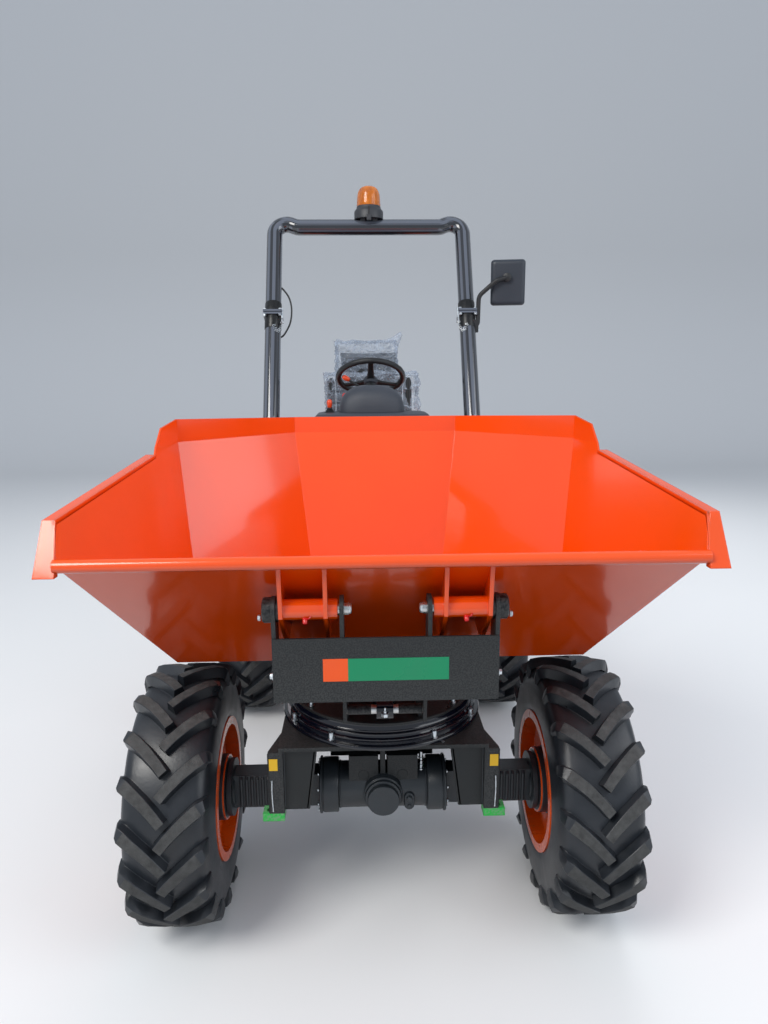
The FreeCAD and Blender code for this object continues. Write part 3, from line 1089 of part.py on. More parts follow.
def dash_and_controls():
    """Console with its hump, column, steering wheel and three levers."""
    front = rear_axle_y - s.dash_front
    floor = s.rear_top_z + s.platform_thick
    profile = [(front + 20, floor), (front + 20 + s.dash_foot_deep, floor),
               (front + 20 + s.dash_foot_deep, s.dash_top_z - 300), (front + s.dash_deep, s.dash_top_z - 190),
               (front + s.dash_deep + 50, s.dash_top_z), (front + 30, s.dash_top_z), (front, s.dash_top_z - 50),
               (front, s.dash_top_z - 300)]
    hump_y, hump_end = front + 130, front + 130 + s.dash_hump_deep
    hump = [(hump_y, s.dash_top_z - 60), (hump_end, s.dash_top_z - 60), (hump_end, s.dash_hump_z - 20),
            (hump_end - 20, s.dash_hump_z), (hump_y + 40, s.dash_hump_z), (hump_y + 12, s.dash_hump_z - 60)]
    dome = doc.addObject("Part::Common", "dash_dome")
    dome.Base = plate("dash_hump", "x", hump, -s.dash_hump_half, s.dash_hump_half)
    dome.Tool = rod("dash_round", "y", s.dash_hump_half, (0, hump_y, s.dash_hump_z - s.dash_hump_half),
                    s.dash_hump_deep)
    keep("dash_console", joined("dash_console",
                                plate("dash_body", "x", profile, -s.dash_half_wide, s.dash_half_wide), dome))
    wheel = Vector(0, (rear_axle_y + s.wheel_behind).value, s.wheel_z.value)
    tilt = math.radians(s.wheel_tilt.value)
    axis = Vector(0, math.sin(tilt), math.cos(tilt))
    reach = s.column_long.value
    foot = wheel - axis * reach
    column = Part.makeCylinder(s.column_radius.value, reach - 25, foot, axis)
    dash_back = (front + s.dash_deep + 50).value
    bridge = Part.makeBox(60, foot.y - dash_back + 30, 90, Vector(-30, dash_back, foot.z - 10))
    keep("steering_column", shaped("steering_column", column.fuse(bridge)))
    rim = Part.makeTorus(s.wheel_radius.value - s.wheel_tube.value, s.wheel_tube.value, wheel, axis)
    hub = Part.makeCylinder(32, 30, wheel - axis * 24, axis)
    spokes = [hub]
    for turn in (90, 210, 330):
        along = FreeCAD.Rotation(axis, turn).multVec(Vector(1, 0, 0))
        spokes.append(Part.makeCylinder(9, s.wheel_radius.value - s.wheel_tube.value, wheel - axis * 8, along))
    keep("steering_wheel", shaped("steering_wheel", rim.fuse(spokes)))
    levers = []
    for name, side, behind, above in LEVERS:
        levers.append(joined("lever_" + name,
                             rod("lever_stem_" + name, "z", s.lever_radius, (-side, front + behind, s.dash_top_z),
                                 above),
                             rod("lever_knob_" + name, "z", s.knob_radius,
                                 (-side, front + behind, s.dash_top_z + above - s.knob_tall / 2), s.knob_tall)))
    start = wheel - axis * s.stalk_below.value - Vector(s.column_radius.value + s.stalk_clear.value, 0, 0)
    end = Vector(-s.stalk_side.value, wheel.y - s.stalk_ahead.value, wheel.z - s.stalk_drop.value)
    stalk = Part.makeCylinder(s.lever_radius.value, (end - start).Length, start, end - start)
    way = (end - start).normalize()
    knob = Part.makeCylinder(s.knob_radius.value, s.knob_tall.value, end - way * (s.knob_tall.value / 2), way)
    levers.append(shaped("lever_stalk", stalk.fuse(knob)))
    keep("control_levers", apart("control_levers", *levers))


def fold_flange(middle, low, thick):
    """A plate across the leaning tube, from just ahead of it to the folding pin."""
    front = s.arch_tube.value + 6
    wide = 2 * front
    thing = Part.makeBox(wide, front + s.fold_axis_back.value, thick, Vector(-front, -front, low))
    thing.rotate(Vector(), Vector(1, 0, 0), -s.arch_lean.value)
    thing.translate(middle)
    return thing


def arch():
    """Two lower posts, the folding hoop, beacon and mirror."""
    y_foot = (rear_axle_y - s.arch_front).value
    floor = (s.rear_top_z + s.platform_thick).value
    radius, wall = s.arch_tube.value, s.arch_wall.value
    lean = math.radians(s.arch_lean.value)
    bend = Vector(0, y_foot, s.arch_bend_z.value)
    up = Vector(0, math.sin(lean), math.cos(lean))
    fold = bend + up * ((s.arch_fold_z.value - bend.z) / up.z)
    top = bend + up * ((s.arch_top_z.value - bend.z) / up.z)
    behind = Vector(0, up.z, -up.y)
    gap, thick = s.fold_gap.value / 2, s.fold_flange.value
    knuckle, half = s.knuckle_radius.value, s.knuckle_half.value
    axis = fold + behind * s.fold_axis_back.value
    posts, ends = [], []
    for side in (1, -1):
        across = Vector(side * s.arch_x.value, 0, 0)
        post = tube([Vector(0, y_foot, floor) + across, bend + across, fold - up * (gap + thick / 2) + across],
                    radius, wall, 150)
        foot = Part.makeBox(120, 120, 10, Vector(across.x - 60, y_foot - 60, floor))
        lower = fold_flange(fold + across, -gap - thick, thick)
        upper = fold_flange(fold + across, gap, thick)
        middle = Part.makeCylinder(knuckle, 2 * half, axis + across - Vector(half, 0, 0), Vector(1, 0, 0))
        room = Part.makeCylinder(knuckle + 1, 2 * half + 2, axis + across - Vector(half + 1, 0, 0), Vector(1, 0, 0))
        outer = Part.makeCylinder(knuckle, 4 * half, axis + across - Vector(2 * half, 0, 0), Vector(1, 0, 0))
        outer = outer.cut(room)
        kept = Part.makeCylinder(2 * knuckle, 2 * half, axis + across - Vector(half, 0, 0), Vector(1, 0, 0))
        clear = Part.makeCylinder(knuckle + 1, 4 * half + 2, axis + across - Vector(2 * half + 1, 0, 0),
                                  Vector(1, 0, 0)).cut(kept)
        posts.append(post.fuse([foot, lower.cut(clear), middle]))
        ends.append(upper.cut(room).fuse(outer))
    keep("arch_posts", shaped("arch_posts", Part.makeCompound(posts)))
    start = fold + up * (gap + thick / 2)
    across = Vector(s.arch_x.value, 0, 0)
    peak = top + up * s.arch_hump.value
    knee = Vector(s.arch_x.value - s.arch_hump_long.value, 0, 0)
    hoop = tube([start - across, peak - across, top - knee, top + knee, peak + across, start + across], radius, wall,
                s.arch_corner.value).fuse(ends)
    keep("arch_hoop", shaped("arch_hoop", hoop))
    upright = Vector(0, 0, 1)
    base_low = top + upright * (radius - 14)
    base = Part.makeCylinder(s.beacon_base_radius.value, s.beacon_base_tall.value, base_low, upright)
    bar = Part.makeCylinder(radius, 4 * radius, top - Vector(2 * radius, 0, 0), Vector(1, 0, 0))
    keep("beacon_base", shaped("beacon_base", base.cut(bar)))
    lens_low = base_low + upright * s.beacon_base_tall.value
    lens = Part.makeCylinder(s.beacon_radius.value, s.beacon_tall.value, lens_low, upright)
    keep("beacon_lens", shaped("beacon_lens", lens))
    root = fold - up * 60 + Vector(s.arch_x.value + radius - wall / 2, 0, 0)
    face = Vector(s.mirror_x.value, root.y + 20, s.mirror_z.value)
    arm = tube([root, root + Vector(35, 0, 10), Vector(root.x + 35, root.y, face.z), face - Vector(40, 20, 0)],
               s.mirror_tube.value, 0, 16)
    head = Part.makeBox(s.mirror_wide.value, s.mirror_deep.value, s.mirror_tall.value,
                        face - Vector(s.mirror_wide.value / 2, 20 + s.mirror_deep.value / 2,
                                      s.mirror_tall.value / 2))
    keep("mirror", shaped("mirror", arm.fuse(head).cut(nodes["arch_posts"].Shape)))


SUBPARTS = [wheels, axles, front_frame, tie_down_plates, slew_rings, swivel_frame, skip, skip_rim, skip_hinges, tip_cylinder,
            steering_cylinder, rear_frame, platform, engine_and_tanks, hood_and_seat, dash_and_controls, arch]
for make in SUBPARTS:
    make()
    doc.recompute()
doc.recompute()

for item in doc.Objects:
    if "Invalid" in item.State or "Error" in item.State:
        raise RuntimeError("%s failed: %s" % (item.Label, item.State))
os.makedirs("parts", exist_ok=True)
for name, thing in nodes.items():
    shape = thing.Shape
    if shape.isNull() or not shape.isValid():
        raise RuntimeError(name + " has no valid shape")
    shape.exportStep(os.path.join("parts", name + ".step"))
    box_size = shape.BoundBox
    print("%-28s %2d solids  volume %8.0f cm3  x %6.0f %6.0f  y %6.0f %6.0f  z %6.0f %6.0f" % (
        name, len(shape.Solids), shape.Volume / 1000, box_size.XMin, box_size.XMax, box_size.YMin, box_size.YMax,
        box_size.ZMin, box_size.ZMax))
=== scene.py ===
"""Looks of the articulated site dumper, in metres in the row frame: -Y is ahead, +X is the machine's left."""
import math

import bpy
from mathutils import Matrix, Quaternion, Vector, noise


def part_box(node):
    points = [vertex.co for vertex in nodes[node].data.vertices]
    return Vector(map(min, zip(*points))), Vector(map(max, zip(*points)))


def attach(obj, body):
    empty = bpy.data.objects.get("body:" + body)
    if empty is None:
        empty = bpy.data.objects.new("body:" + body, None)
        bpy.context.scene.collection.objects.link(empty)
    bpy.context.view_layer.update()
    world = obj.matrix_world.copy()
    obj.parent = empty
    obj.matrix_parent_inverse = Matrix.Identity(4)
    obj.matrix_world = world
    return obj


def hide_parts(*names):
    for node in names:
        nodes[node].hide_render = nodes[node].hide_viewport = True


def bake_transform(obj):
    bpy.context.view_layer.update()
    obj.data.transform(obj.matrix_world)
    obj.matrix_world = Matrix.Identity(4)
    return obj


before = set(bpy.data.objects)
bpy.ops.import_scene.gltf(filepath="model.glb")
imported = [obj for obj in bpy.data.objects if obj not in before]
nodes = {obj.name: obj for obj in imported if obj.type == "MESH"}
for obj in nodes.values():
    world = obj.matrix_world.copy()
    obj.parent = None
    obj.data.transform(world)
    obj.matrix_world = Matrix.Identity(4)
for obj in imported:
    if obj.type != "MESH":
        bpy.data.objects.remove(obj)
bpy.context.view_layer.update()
V = Vector
X, Y, Z = V((1, 0, 0)), V((0, 1, 0)), V((0, 0, 1))
# y of the axles, the articulation's pin and the slew ring's middle
FRONT, REAR, PIVOT, RING = -0.9955, 0.4315, -0.2755, -0.9155
# half the track, the tyre's radius, and how high the front deck and the swivel plate's underside lie
TRACK, TYRE, DECK, TABLE = 0.59, 0.38, 0.612, 0.6805
TIP = V((0, -1.4305, 1.0965))  # middle of the tipping pins' line
# the arch leans back: along its posts, square to them, the fold's middle, the bar's middle, the posts' x
LEAN = math.radians(25.5)
UP, BEHIND = V((0, math.sin(LEAN), math.cos(LEAN))), V((0, math.cos(LEAN), -math.sin(LEAN)))
FOLD, BAR, ARCH_X = V((0, 0.5604, 1.905)), V((0, 0.7693, 2.343)), 0.465


def around(n, start=0.0):
    """Even angles round a circle."""
    return [2 * math.pi * k / n + start for k in range(n)]


def turned(u, v, angle):
    """The direction at an angle from u towards v."""
    return u * math.cos(angle) + v * math.sin(angle)


def mm(*points):
    """Points typed in millimetres, turned into metres."""
    return [tuple(c / 1000 for c in point) for point in points]


# materials

LOOKS = {}  # every material by its name
noise.seed_set(7)  # the film's crumple is the same in each run
DUST = (0.32, 0.3, 0.27, 1)
NOISE = (0.3, 0.7)  # where the broad noise has nearly all its values
RELIEF_DEPTH, COAT_ROUGH = 0.002, 0.06


def material(name, colour, rough=0.5, metal=0.0, coat=0.0, vary=0.1, scale=5.0, bump=0.1, grain=150.0,
        stretch=None, wear=None, worn=0.5, dust=0.0, edge=0.0015, alpha=1.0, rough_vary=0.12, shine=0.5,
        reflection_streaks=None, veil=None):
    """Principled shader: uneven colour and gloss, fine relief, soft edges, edge wear and dust on top faces.

    The streaks of painted reflection are (noise scale, (low, high), colour), and veil is (alpha of the flat
    film, alpha where it shows painted sheen and crease highlights)."""
    made = LOOKS[name] = bpy.data.materials.new(name)
    made.use_nodes = True
    tree = made.node_tree
    shader = tree.nodes["Principled BSDF"]

    def node(kind, **values):
        new = tree.nodes.new("ShaderNode" + kind)
        for key, value in values.items():
            if key in new.inputs:
                new.inputs[key].default_value = value
            else:
                setattr(new, key, value)
        return new

    def link(source, target):
        tree.links.new(source, target)

    def blend(factor, first, second):
        mix = node("Mix", data_type="RGBA")
        for value, socket in ((factor, 0), (first, 6), (second, 7)):
            if isinstance(value, tuple):
                mix.inputs[socket].default_value = value
            else:
                link(value, mix.inputs[socket])
        return mix.outputs[2]

    def maths(operation, *sources):
        new = node("Math", operation=operation)
        for source, socket in zip(sources, new.inputs):
            link(source, socket)
        return new.outputs["Value"]

    def ranged(source, low, high, new_low=0.0, new_high=1.0):
        span = node("MapRange")
        link(source, span.inputs["Value"])
        for key, value in (("From Min", low), ("From Max", high), ("To Min", new_low), ("To Max", new_high)):
            span.inputs[key].default_value = value
        return span.outputs["Result"]

    place = node("TexCoord").outputs["Object"]
    if stretch:
        mapping = node("Mapping")
        mapping.inputs["Scale"].default_value = stretch
        link(place, mapping.inputs["Vector"])
        place = mapping.outputs["Vector"]
    broad = node("TexNoise", Scale=scale, Detail=4.0, Roughness=0.6)
    fine = node("TexNoise", Scale=grain, Detail=3.0)
    link(place, broad.inputs["Vector"])
    link(place, fine.inputs["Vector"])
    dark = tuple(c * (1 - vary) for c in colour) + (1,)
    light = tuple(min(1, c * (1 + vary)) for c in colour) + (1,)
    shade = blend(ranged(broad.outputs["Fac"], *NOISE), dark, light)
    geometry = node("NewGeometry")
    if wear:
        edges = ranged(geometry.outputs["Pointiness"], 0.53, 0.6, 0, worn)
        shade = blend(maths("MULTIPLY", edges, ranged(fine.outputs["Fac"], 0.4, 0.6)), shade, wear + (1,))
    if dust:
        normal = node("SeparateXYZ")
        link(geometry.outputs["Normal"], normal.inputs[0])
        tops = ranged(normal.outputs["Z"], 0.2, 1.0, 0, dust)
        shade = blend(maths("MULTIPLY", tops, ranged(broad.outputs["Fac"], 0.35, 0.7)), shade, DUST)
    if reflection_streaks:
        # painted reflection: pale bands laid by the surface normal, drawn out along a round tube, since they
        # change only round its skin
        density, span, pale = reflection_streaks
        reflection_bands = node("TexNoise", Scale=density, Detail=2.0)
        link(node("TexCoord").outputs["Normal"], reflection_bands.inputs["Vector"])
        shade = blend(ranged(reflection_bands.outputs["Fac"], *span), shade, pale + (1,))
    link(shade, shader.inputs["Base Color"])
    if veil:
        # painted sheen and highlights: the pale film grows opaque where it is seen edge on and along thin
        # crease lines
        facing = node("LayerWeight", Blend=0.35)
        # the middle of the fine noise, its second socket's 0.5, runs in thin lines that carry the painted
        # crease highlights
        highlight_line = maths("ABSOLUTE", maths("SUBTRACT", fine.outputs["Fac"]))
        crease_highlights = ranged(highlight_line, 0.0, 0.022, veil[1], veil[0])
        edge_sheen = ranged(facing.outputs["Facing"], 0.3, 0.95, *veil)
        link(maths("MAXIMUM", edge_sheen, crease_highlights), shader.inputs["Alpha"])
    else:
        shader.inputs["Alpha"].default_value = alpha
    if rough_vary:
        link(ranged(broad.outputs["Fac"], *NOISE, max(0.02, rough - rough_vary), min(1, rough + rough_vary)),
            shader.inputs["Roughness"])
    else:
        shader.inputs["Roughness"].default_value = rough
    for socket, value in (("Metallic", metal), ("Coat Weight", coat), ("Coat Roughness", COAT_ROUGH),
            ("Specular IOR Level", shine)):
        shader.inputs[socket].default_value = value
    relief = node("Bump", Strength=bump, Distance=RELIEF_DEPTH)
    link(fine.outputs["Fac"], relief.inputs["Height"])
    if edge:
        soft = node("Bevel", samples=4, Radius=edge)
        link(soft.outputs["Normal"], relief.inputs["Normal"])
    link(relief.outputs["Normal"], shader.inputs["Normal"])
    return made


ORANGE = (0.86, 0.078, 0.0008)
material("skip_paint", ORANGE, 0.17, coat=0.5, vary=0.05, scale=2.5, bump=0.04, grain=60, rough_vary=0.05,
    edge=0.004)
# orange paint, its base made brighter as painted light, since the rims face inwards and catch little lamp
# light
material("rim_paint", (0.95, 0.105, 0.003), 0.28, coat=0.4, vary=0.07, bump=0.05, wear=(0.2, 0.1, 0.07),
    worn=0.3)
charcoal = material("charcoal_paint", (0.012, 0.014, 0.015), 0.46, vary=0.08, bump=0.02, grain=300,
    wear=(0.09, 0.09, 0.09), worn=0.35, dust=0.03, shine=0.35, rough_vary=0.06)
casting = material("casting", (0.024, 0.03, 0.036), 0.42, vary=0.2, bump=0.25, grain=260, edge=0.003)
gloss_black = material("gloss_black", (0.003, 0.004, 0.01), 0.12, coat=0.3, vary=0.2, bump=0.03,
    rough_vary=0.04)
# black paint, its base made darker still as painted shade for the skip's shadow over the swivel plate
table_black = material("table_black", (0.0045, 0.0052, 0.0062), 0.34, shine=0.35, vary=0.15, bump=0.05,
    wear=(0.14, 0.14, 0.14), worn=0.3)
zinc = material("zinc", (0.6, 0.64, 0.67), 0.34, metal=1.0, vary=0.15, scale=60, bump=0.1, grain=400,
    edge=0.0006)
steel = material("bright_steel", (0.55, 0.55, 0.54), 0.28, metal=1.0, vary=0.1, bump=0.15, grain=300)
material("chrome", (0.75, 0.75, 0.76), 0.08, metal=1.0, vary=0.03, bump=0.01, rough_vary=0.03)
material("green_paint", (0.008, 0.48, 0.055), 0.34, vary=0.12, bump=0.12, wear=(0.25, 0.3, 0.25))
rubber = material("rubber", (0.015, 0.0182, 0.0235), 0.36, vary=0.3, scale=7, bump=0.15, grain=130, dust=0.03,
    edge=0.0018, rough_vary=0.1)
worn_rubber = material("worn_rubber", (0.05, 0.051, 0.051), 0.75, vary=0.55, scale=45, bump=0.9, grain=380,
    edge=0.001)
hose_rubber = material("hose_rubber", (0.015, 0.015, 0.016), 0.5, vary=0.2, bump=0.4, grain=500)
plastic = material("dark_plastic", (0.04, 0.046, 0.06), 0.5, vary=0.08, bump=0.4, grain=900, edge=0.003)
black_plastic = material("black_plastic", (0.011, 0.012, 0.014), 0.42, vary=0.1, bump=0.3, grain=700)
beacon_grey = material("beacon_grey", (0.032, 0.034, 0.04), 0.45, vary=0.12, bump=0.25, grain=600, edge=0.002)
mirror_back = material("mirror_back", (0.026, 0.033, 0.046), 0.45, vary=0.08, bump=0.3, grain=900, edge=0.003)
red_plastic = material("red_plastic", (0.62, 0.012, 0.012), 0.3, coat=0.3, vary=0.08, bump=0.02)
orange_plastic = material("orange_plastic", (0.85, 0.07, 0.012), 0.34, coat=0.2, vary=0.06, bump=0.03)
# the arch's paint carries painted reflections in its pale streaks
material("arch_paint", (0.014, 0.016, 0.021), 0.16, metal=0.2, coat=0.9, vary=0.2, scale=3, bump=0.08,
    grain=9, rough_vary=0.05, reflection_streaks=(2.6, (0.5, 0.6), (0.115, 0.13, 0.165)))
vinyl = material("seat_vinyl", (0.022, 0.023, 0.025), 0.48, vary=0.15, bump=0.5, grain=420)
# the film's pale colour gives painted sheen at its edges and painted highlights along crease lines
film = material("clear_film", (0.5, 0.57, 0.68), 0.16, vary=0.2, scale=14, bump=0.9, grain=20, edge=0,
    veil=(0.3, 0.66))
amber = material("amber_lens", (0.88, 0.19, 0.004), 0.16, vary=0.5, scale=14, bump=0.1, grain=80, alpha=0.78,
    coat=0.35, rough_vary=0.04, stretch=(2.5, 2.5, 0.7))
amber_core = material("amber_core", (0.3, 0.045, 0.004), 0.3, vary=0.6, scale=30, bump=0.2, grain=90)
bulb_glass = material("bulb_glass", (0.9, 0.75, 0.4), 0.1, vary=0.05, bump=0.02)
red_lens = material("red_lens", (0.55, 0.008, 0.008), 0.12, coat=0.6, vary=0.1, bump=0.4, grain=260,
    rough_vary=0.04)
clear_lens = material("clear_lens", (0.75, 0.76, 0.78), 0.1, coat=0.6, vary=0.06, bump=0.5, grain=240,
    rough_vary=0.03)
mirror_glass = material("mirror_glass", (0.8, 0.82, 0.84), 0.03, metal=1.0, vary=0.02, bump=0.0,
    rough_vary=0.0)
sign_orange = material("sign_orange", (0.9, 0.1, 0.012), 0.32, vary=0.03, bump=0.02)
sign_green = material("sign_green", (0.0, 0.24, 0.1), 0.32, vary=0.03, bump=0.02)
yellow = material("yellow_film", (0.85, 0.5, 0.02), 0.35, vary=0.05, bump=0.02)
white_film = material("white_film", (0.62, 0.62, 0.66), 0.3, vary=0.05, bump=0.02)
grille = material("grille_black", (0.01, 0.01, 0.011), 0.6, vary=0.2, bump=0.2)


# mesh building

class Piece:
    """A mesh gathered from simple turned, swept and lofted forms, riding on one body."""

    def __init__(self, name, body, slot, *mats, bevel=0.0, sharp=38):
        self.name, self.body, self.slot, self.mats = name, body, slot, mats
        self.bevel, self.sharp = bevel, sharp
        self.verts, self.faces, self.index = [], [], []

    def add(self, verts, faces, mat=0):
        start = len(self.verts)
        self.verts += [V(v) for v in verts]
        self.faces += [tuple(start + i for i in face) for face in faces]
        self.index += [mat] * len(faces)

    def rings(self, rings, mat=0, closed=False, caps=True):
        """Skin through rings of equal length; closed joins the last to the first."""
        count, size = len(rings), len(rings[0])
        faces = []
        for r in range(count if closed else count - 1):
            a, b = r * size, (r + 1) % count * size
            for i in range(size):
                j = (i + 1) % size
                faces.append((a + i, a + j, b + j, b + i))
        if caps and not closed:
            faces += [tuple(reversed(range(size))), tuple(range((count - 1) * size, count * size))]
        self.add([v for ring in rings for v in ring], faces, mat)

    def lathe(self, start, axis, profile, n=32, mat=0, turn=0, caps=True, closed=False):
        """Turned form: profile is (distance along the axis, radius)."""
        axis = V(axis).normalized()
        side = axis.orthogonal().normalized()
        other = axis.cross(side)
        self.rings([[V(start) + axis * along + turned(side, other, a) * max(radius, 1e-5) for a in around(n,
            turn)] for along, radius in profile], mat, closed, caps)

    def slab(self, centre, u, v, way, rows, mat=0, n=5):
        """Rounded rectangles stacked along way: rows are (distance, half u, half v, corner radius)."""
        self.rings([rounded(V(centre) + way * d, u, v, half_u, half_v, radius, n) for d, half_u, half_v,
            radius in rows], mat)

    def box(self, one, other, mat=0, turn=None, about=None):
        """Box between opposite corners, turned about its middle or a point."""
        (x0, x1), (y0, y1), (z0, z1) = (sorted(pair) for pair in zip(one, other))
        corners = [V((x, y, z)) for z in (z0, z1) for x, y in ((x0, y0), (x1, y0), (x1, y1), (x0, y1))]
        if turn is not None:
            about = V(about) if about is not None else (corners[0] + corners[6]) / 2
            corners = [about + turn @ (c - about) for c in corners]
        self.add(corners, [(3, 2, 1, 0), (4, 5, 6, 7), (0, 1, 5, 4), (1, 2, 6, 5), (2, 3, 7, 6), (3, 0, 4,
            7)], mat)

    def prism(self, outline, along, mat=0):
        """A flat outline of 3-D points drawn out by a vector."""
        outline = [V(p) for p in outline]
        self.rings([outline, [p + V(along) for p in outline]], mat)

    def tube(self, points, radius, n=12, mat=0, closed=False):
        """Round bar along points; radius may be a list."""
        points = [V(p) for p in points]
        count = len(points)
        radii = radius if isinstance(radius, list) else [radius] * count
        side, rings = None, []
        for i, p in enumerate(points):
            before = points[i - 1] if (i or closed) else p
            after = points[(i + 1) % count] if (closed or i + 1 < count) else p
            way = (after - before).normalized()
            side = way.orthogonal() if side is None else side - way * side.dot(way)
            side.normalize()
            other = way.cross(side)
            rings.append([p + turned(side, other, a) * radii[i] for a in around(n)])
        self.rings(rings, mat, closed)

    def loop(self, centre, u, v, n, wire, sides):
        """Ring of wire round two half axes, in the second material."""
        self.tube([centre + turned(u, v, a) for a in around(n)], wire, sides, 1, closed=True)

    def bolt(self, at, axis, size=0.009, mat=0, washer=True, stud=0.0):
        """Washer, chamfered hexagon head and, where asked, the thread's end."""
        at, axis = V(at), V(axis).normalized()
        turn = 0.3 + (at.x * 37 + at.z * 53) % 1
        if washer:
            self.lathe(at, axis, [(0, size * 1.35), (size * 0.22, size * 1.35)], 18, mat)
        low = size * 0.2
        self.lathe(at, axis, [(low, size), (low + size * 0.75, size), (low + size * 0.92, size * 0.84)], 6,
            mat, turn)
        if stud:
            self.lathe(at, axis, [(low, size * 0.5), (low + size * 0.8 + stud, size * 0.5),
                (low + size * 0.9 + stud, size * 0.4)], 12, mat)

    def screw(self, at, axis, radius=0.0065, tall=0.013, mat=0):
        """Socket head screw with a thin flange under its head."""
        self.lathe(at, axis, [(0, radius * 1.25), (tall * 0.12, radius * 1.25), (tall * 0.14, radius),
            (tall * 0.9, radius), (tall, radius * 0.88), (tall, radius * 0.52), (tall * 0.55, radius * 0.5),
            (tall * 0.55, 0)], 20, mat)

    def done(self, *replaced, smooth=True):
        """The finished object: on its body, in place of the CAD nodes it stands for."""
        mesh = bpy.data.meshes.new(self.name)
        mesh.from_pydata(self.verts, [], self.faces)
        for mat in self.mats:
            mesh.materials.append(mat)
        mesh.polygons.foreach_set("material_index", self.index)
        mesh.update()
        obj = bpy.data.objects.new(self.name, mesh)
        bpy.context.scene.collection.objects.link(obj)
        if smooth:
            mesh.shade_smooth()
            mesh.set_sharp_from_angle(angle=math.radians(self.sharp))
        if self.bevel:
            rounding = obj.modifiers.new("edges", "BEVEL")
            rounding.width, rounding.segments, rounding.limit_method = self.bevel, 2, "ANGLE"
            rounding.angle_limit = math.radians(40)
            rounding.harden_normals = True
        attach(obj, self.body)
        if replaced:
            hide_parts(*replaced)
        return obj


def curve(points, steps=8, closed=False):
    """Smooth path through points (Catmull-Rom)."""
    points = [V(p) for p in points]
    count = len(points)
    out = []
    for i in range(count if closed else count - 1):
        p0 = points[i - 1] if (i or closed) else points[0]
        p1, p2 = points[i], points[(i + 1) % count]
        p3 = points[(i + 2) % count] if (closed or i + 2 < count) else points[-1]
        for k in range(steps):
            t = k / steps
            out.append(0.5
                * (2
                * p1
                + (p2
                - p0) * t + (2 * p0 - 5 * p1 + 4 * p2 - p3) * t * t + (3 * p1 - p0 - 3 * p2 + p3) * t ** 3))
    return out if closed else out + [points[-1]]


def rounded(centre, u, v, half_u, half_v, radius, n=5):
    """Ring of a rounded rectangle in the plane of u and v."""
    ring = []
    for k, (su, sv) in enumerate(((1, 1), (-1, 1), (-1, -1), (1, -1))):
        for i in range(n + 1):
            a = math.pi / 2 * (k + i / n)
            ring.append(V(centre)
                + V(u)
                * (su
                * (half_u
                - radius) + radius * math.cos(a)) + V(v) * (sv * (half_v - radius) + radius * math.sin(a)))
    return ring


def paint(table):
    """Gives CAD nodes that stay in view their finish."""
    for mat, names in table.items():
        for name in names.split():
            mesh = nodes[name].data
            mesh.materials.clear()
            mesh.materials.append(LOOKS[mat])
            mesh.shade_smooth()
            mesh.set_sharp_from_angle(angle=math.radians(32))


# camera, floor and light

def camera():
    """The photo's camera, 740 pixels of focal length on a picture 1024 high."""
    place, focal, tall, sensor = V((-0.0526, -3.1115, 1.655)), 740, 1024, 36
    yaw, pitch, roll = (math.radians(a) for a in (1.727, 10.99, -0.448))
    ahead = V((math.sin(yaw) * math.cos(pitch), math.cos(yaw) * math.cos(pitch), -math.sin(pitch)))
    right = V((math.cos(yaw), -math.sin(yaw), 0))
    up = right.cross(ahead)
    right, up = (right * math.cos(roll) + up * math.sin(roll), up * math.cos(roll) - right * math.sin(roll))
    data = bpy.data.cameras.new("camera")
    data.sensor_fit, data.sensor_height = "VERTICAL", sensor
    data.lens = focal / tall * sensor
    obj = bpy.data.objects.new("camera", data)
    obj.matrix_world = Matrix.Translation(place) @ Matrix((right, up, -ahead)).transposed().to_4x4()
    bpy.context.scene.collection.objects.link(obj)
    bpy.context.scene.camera = obj


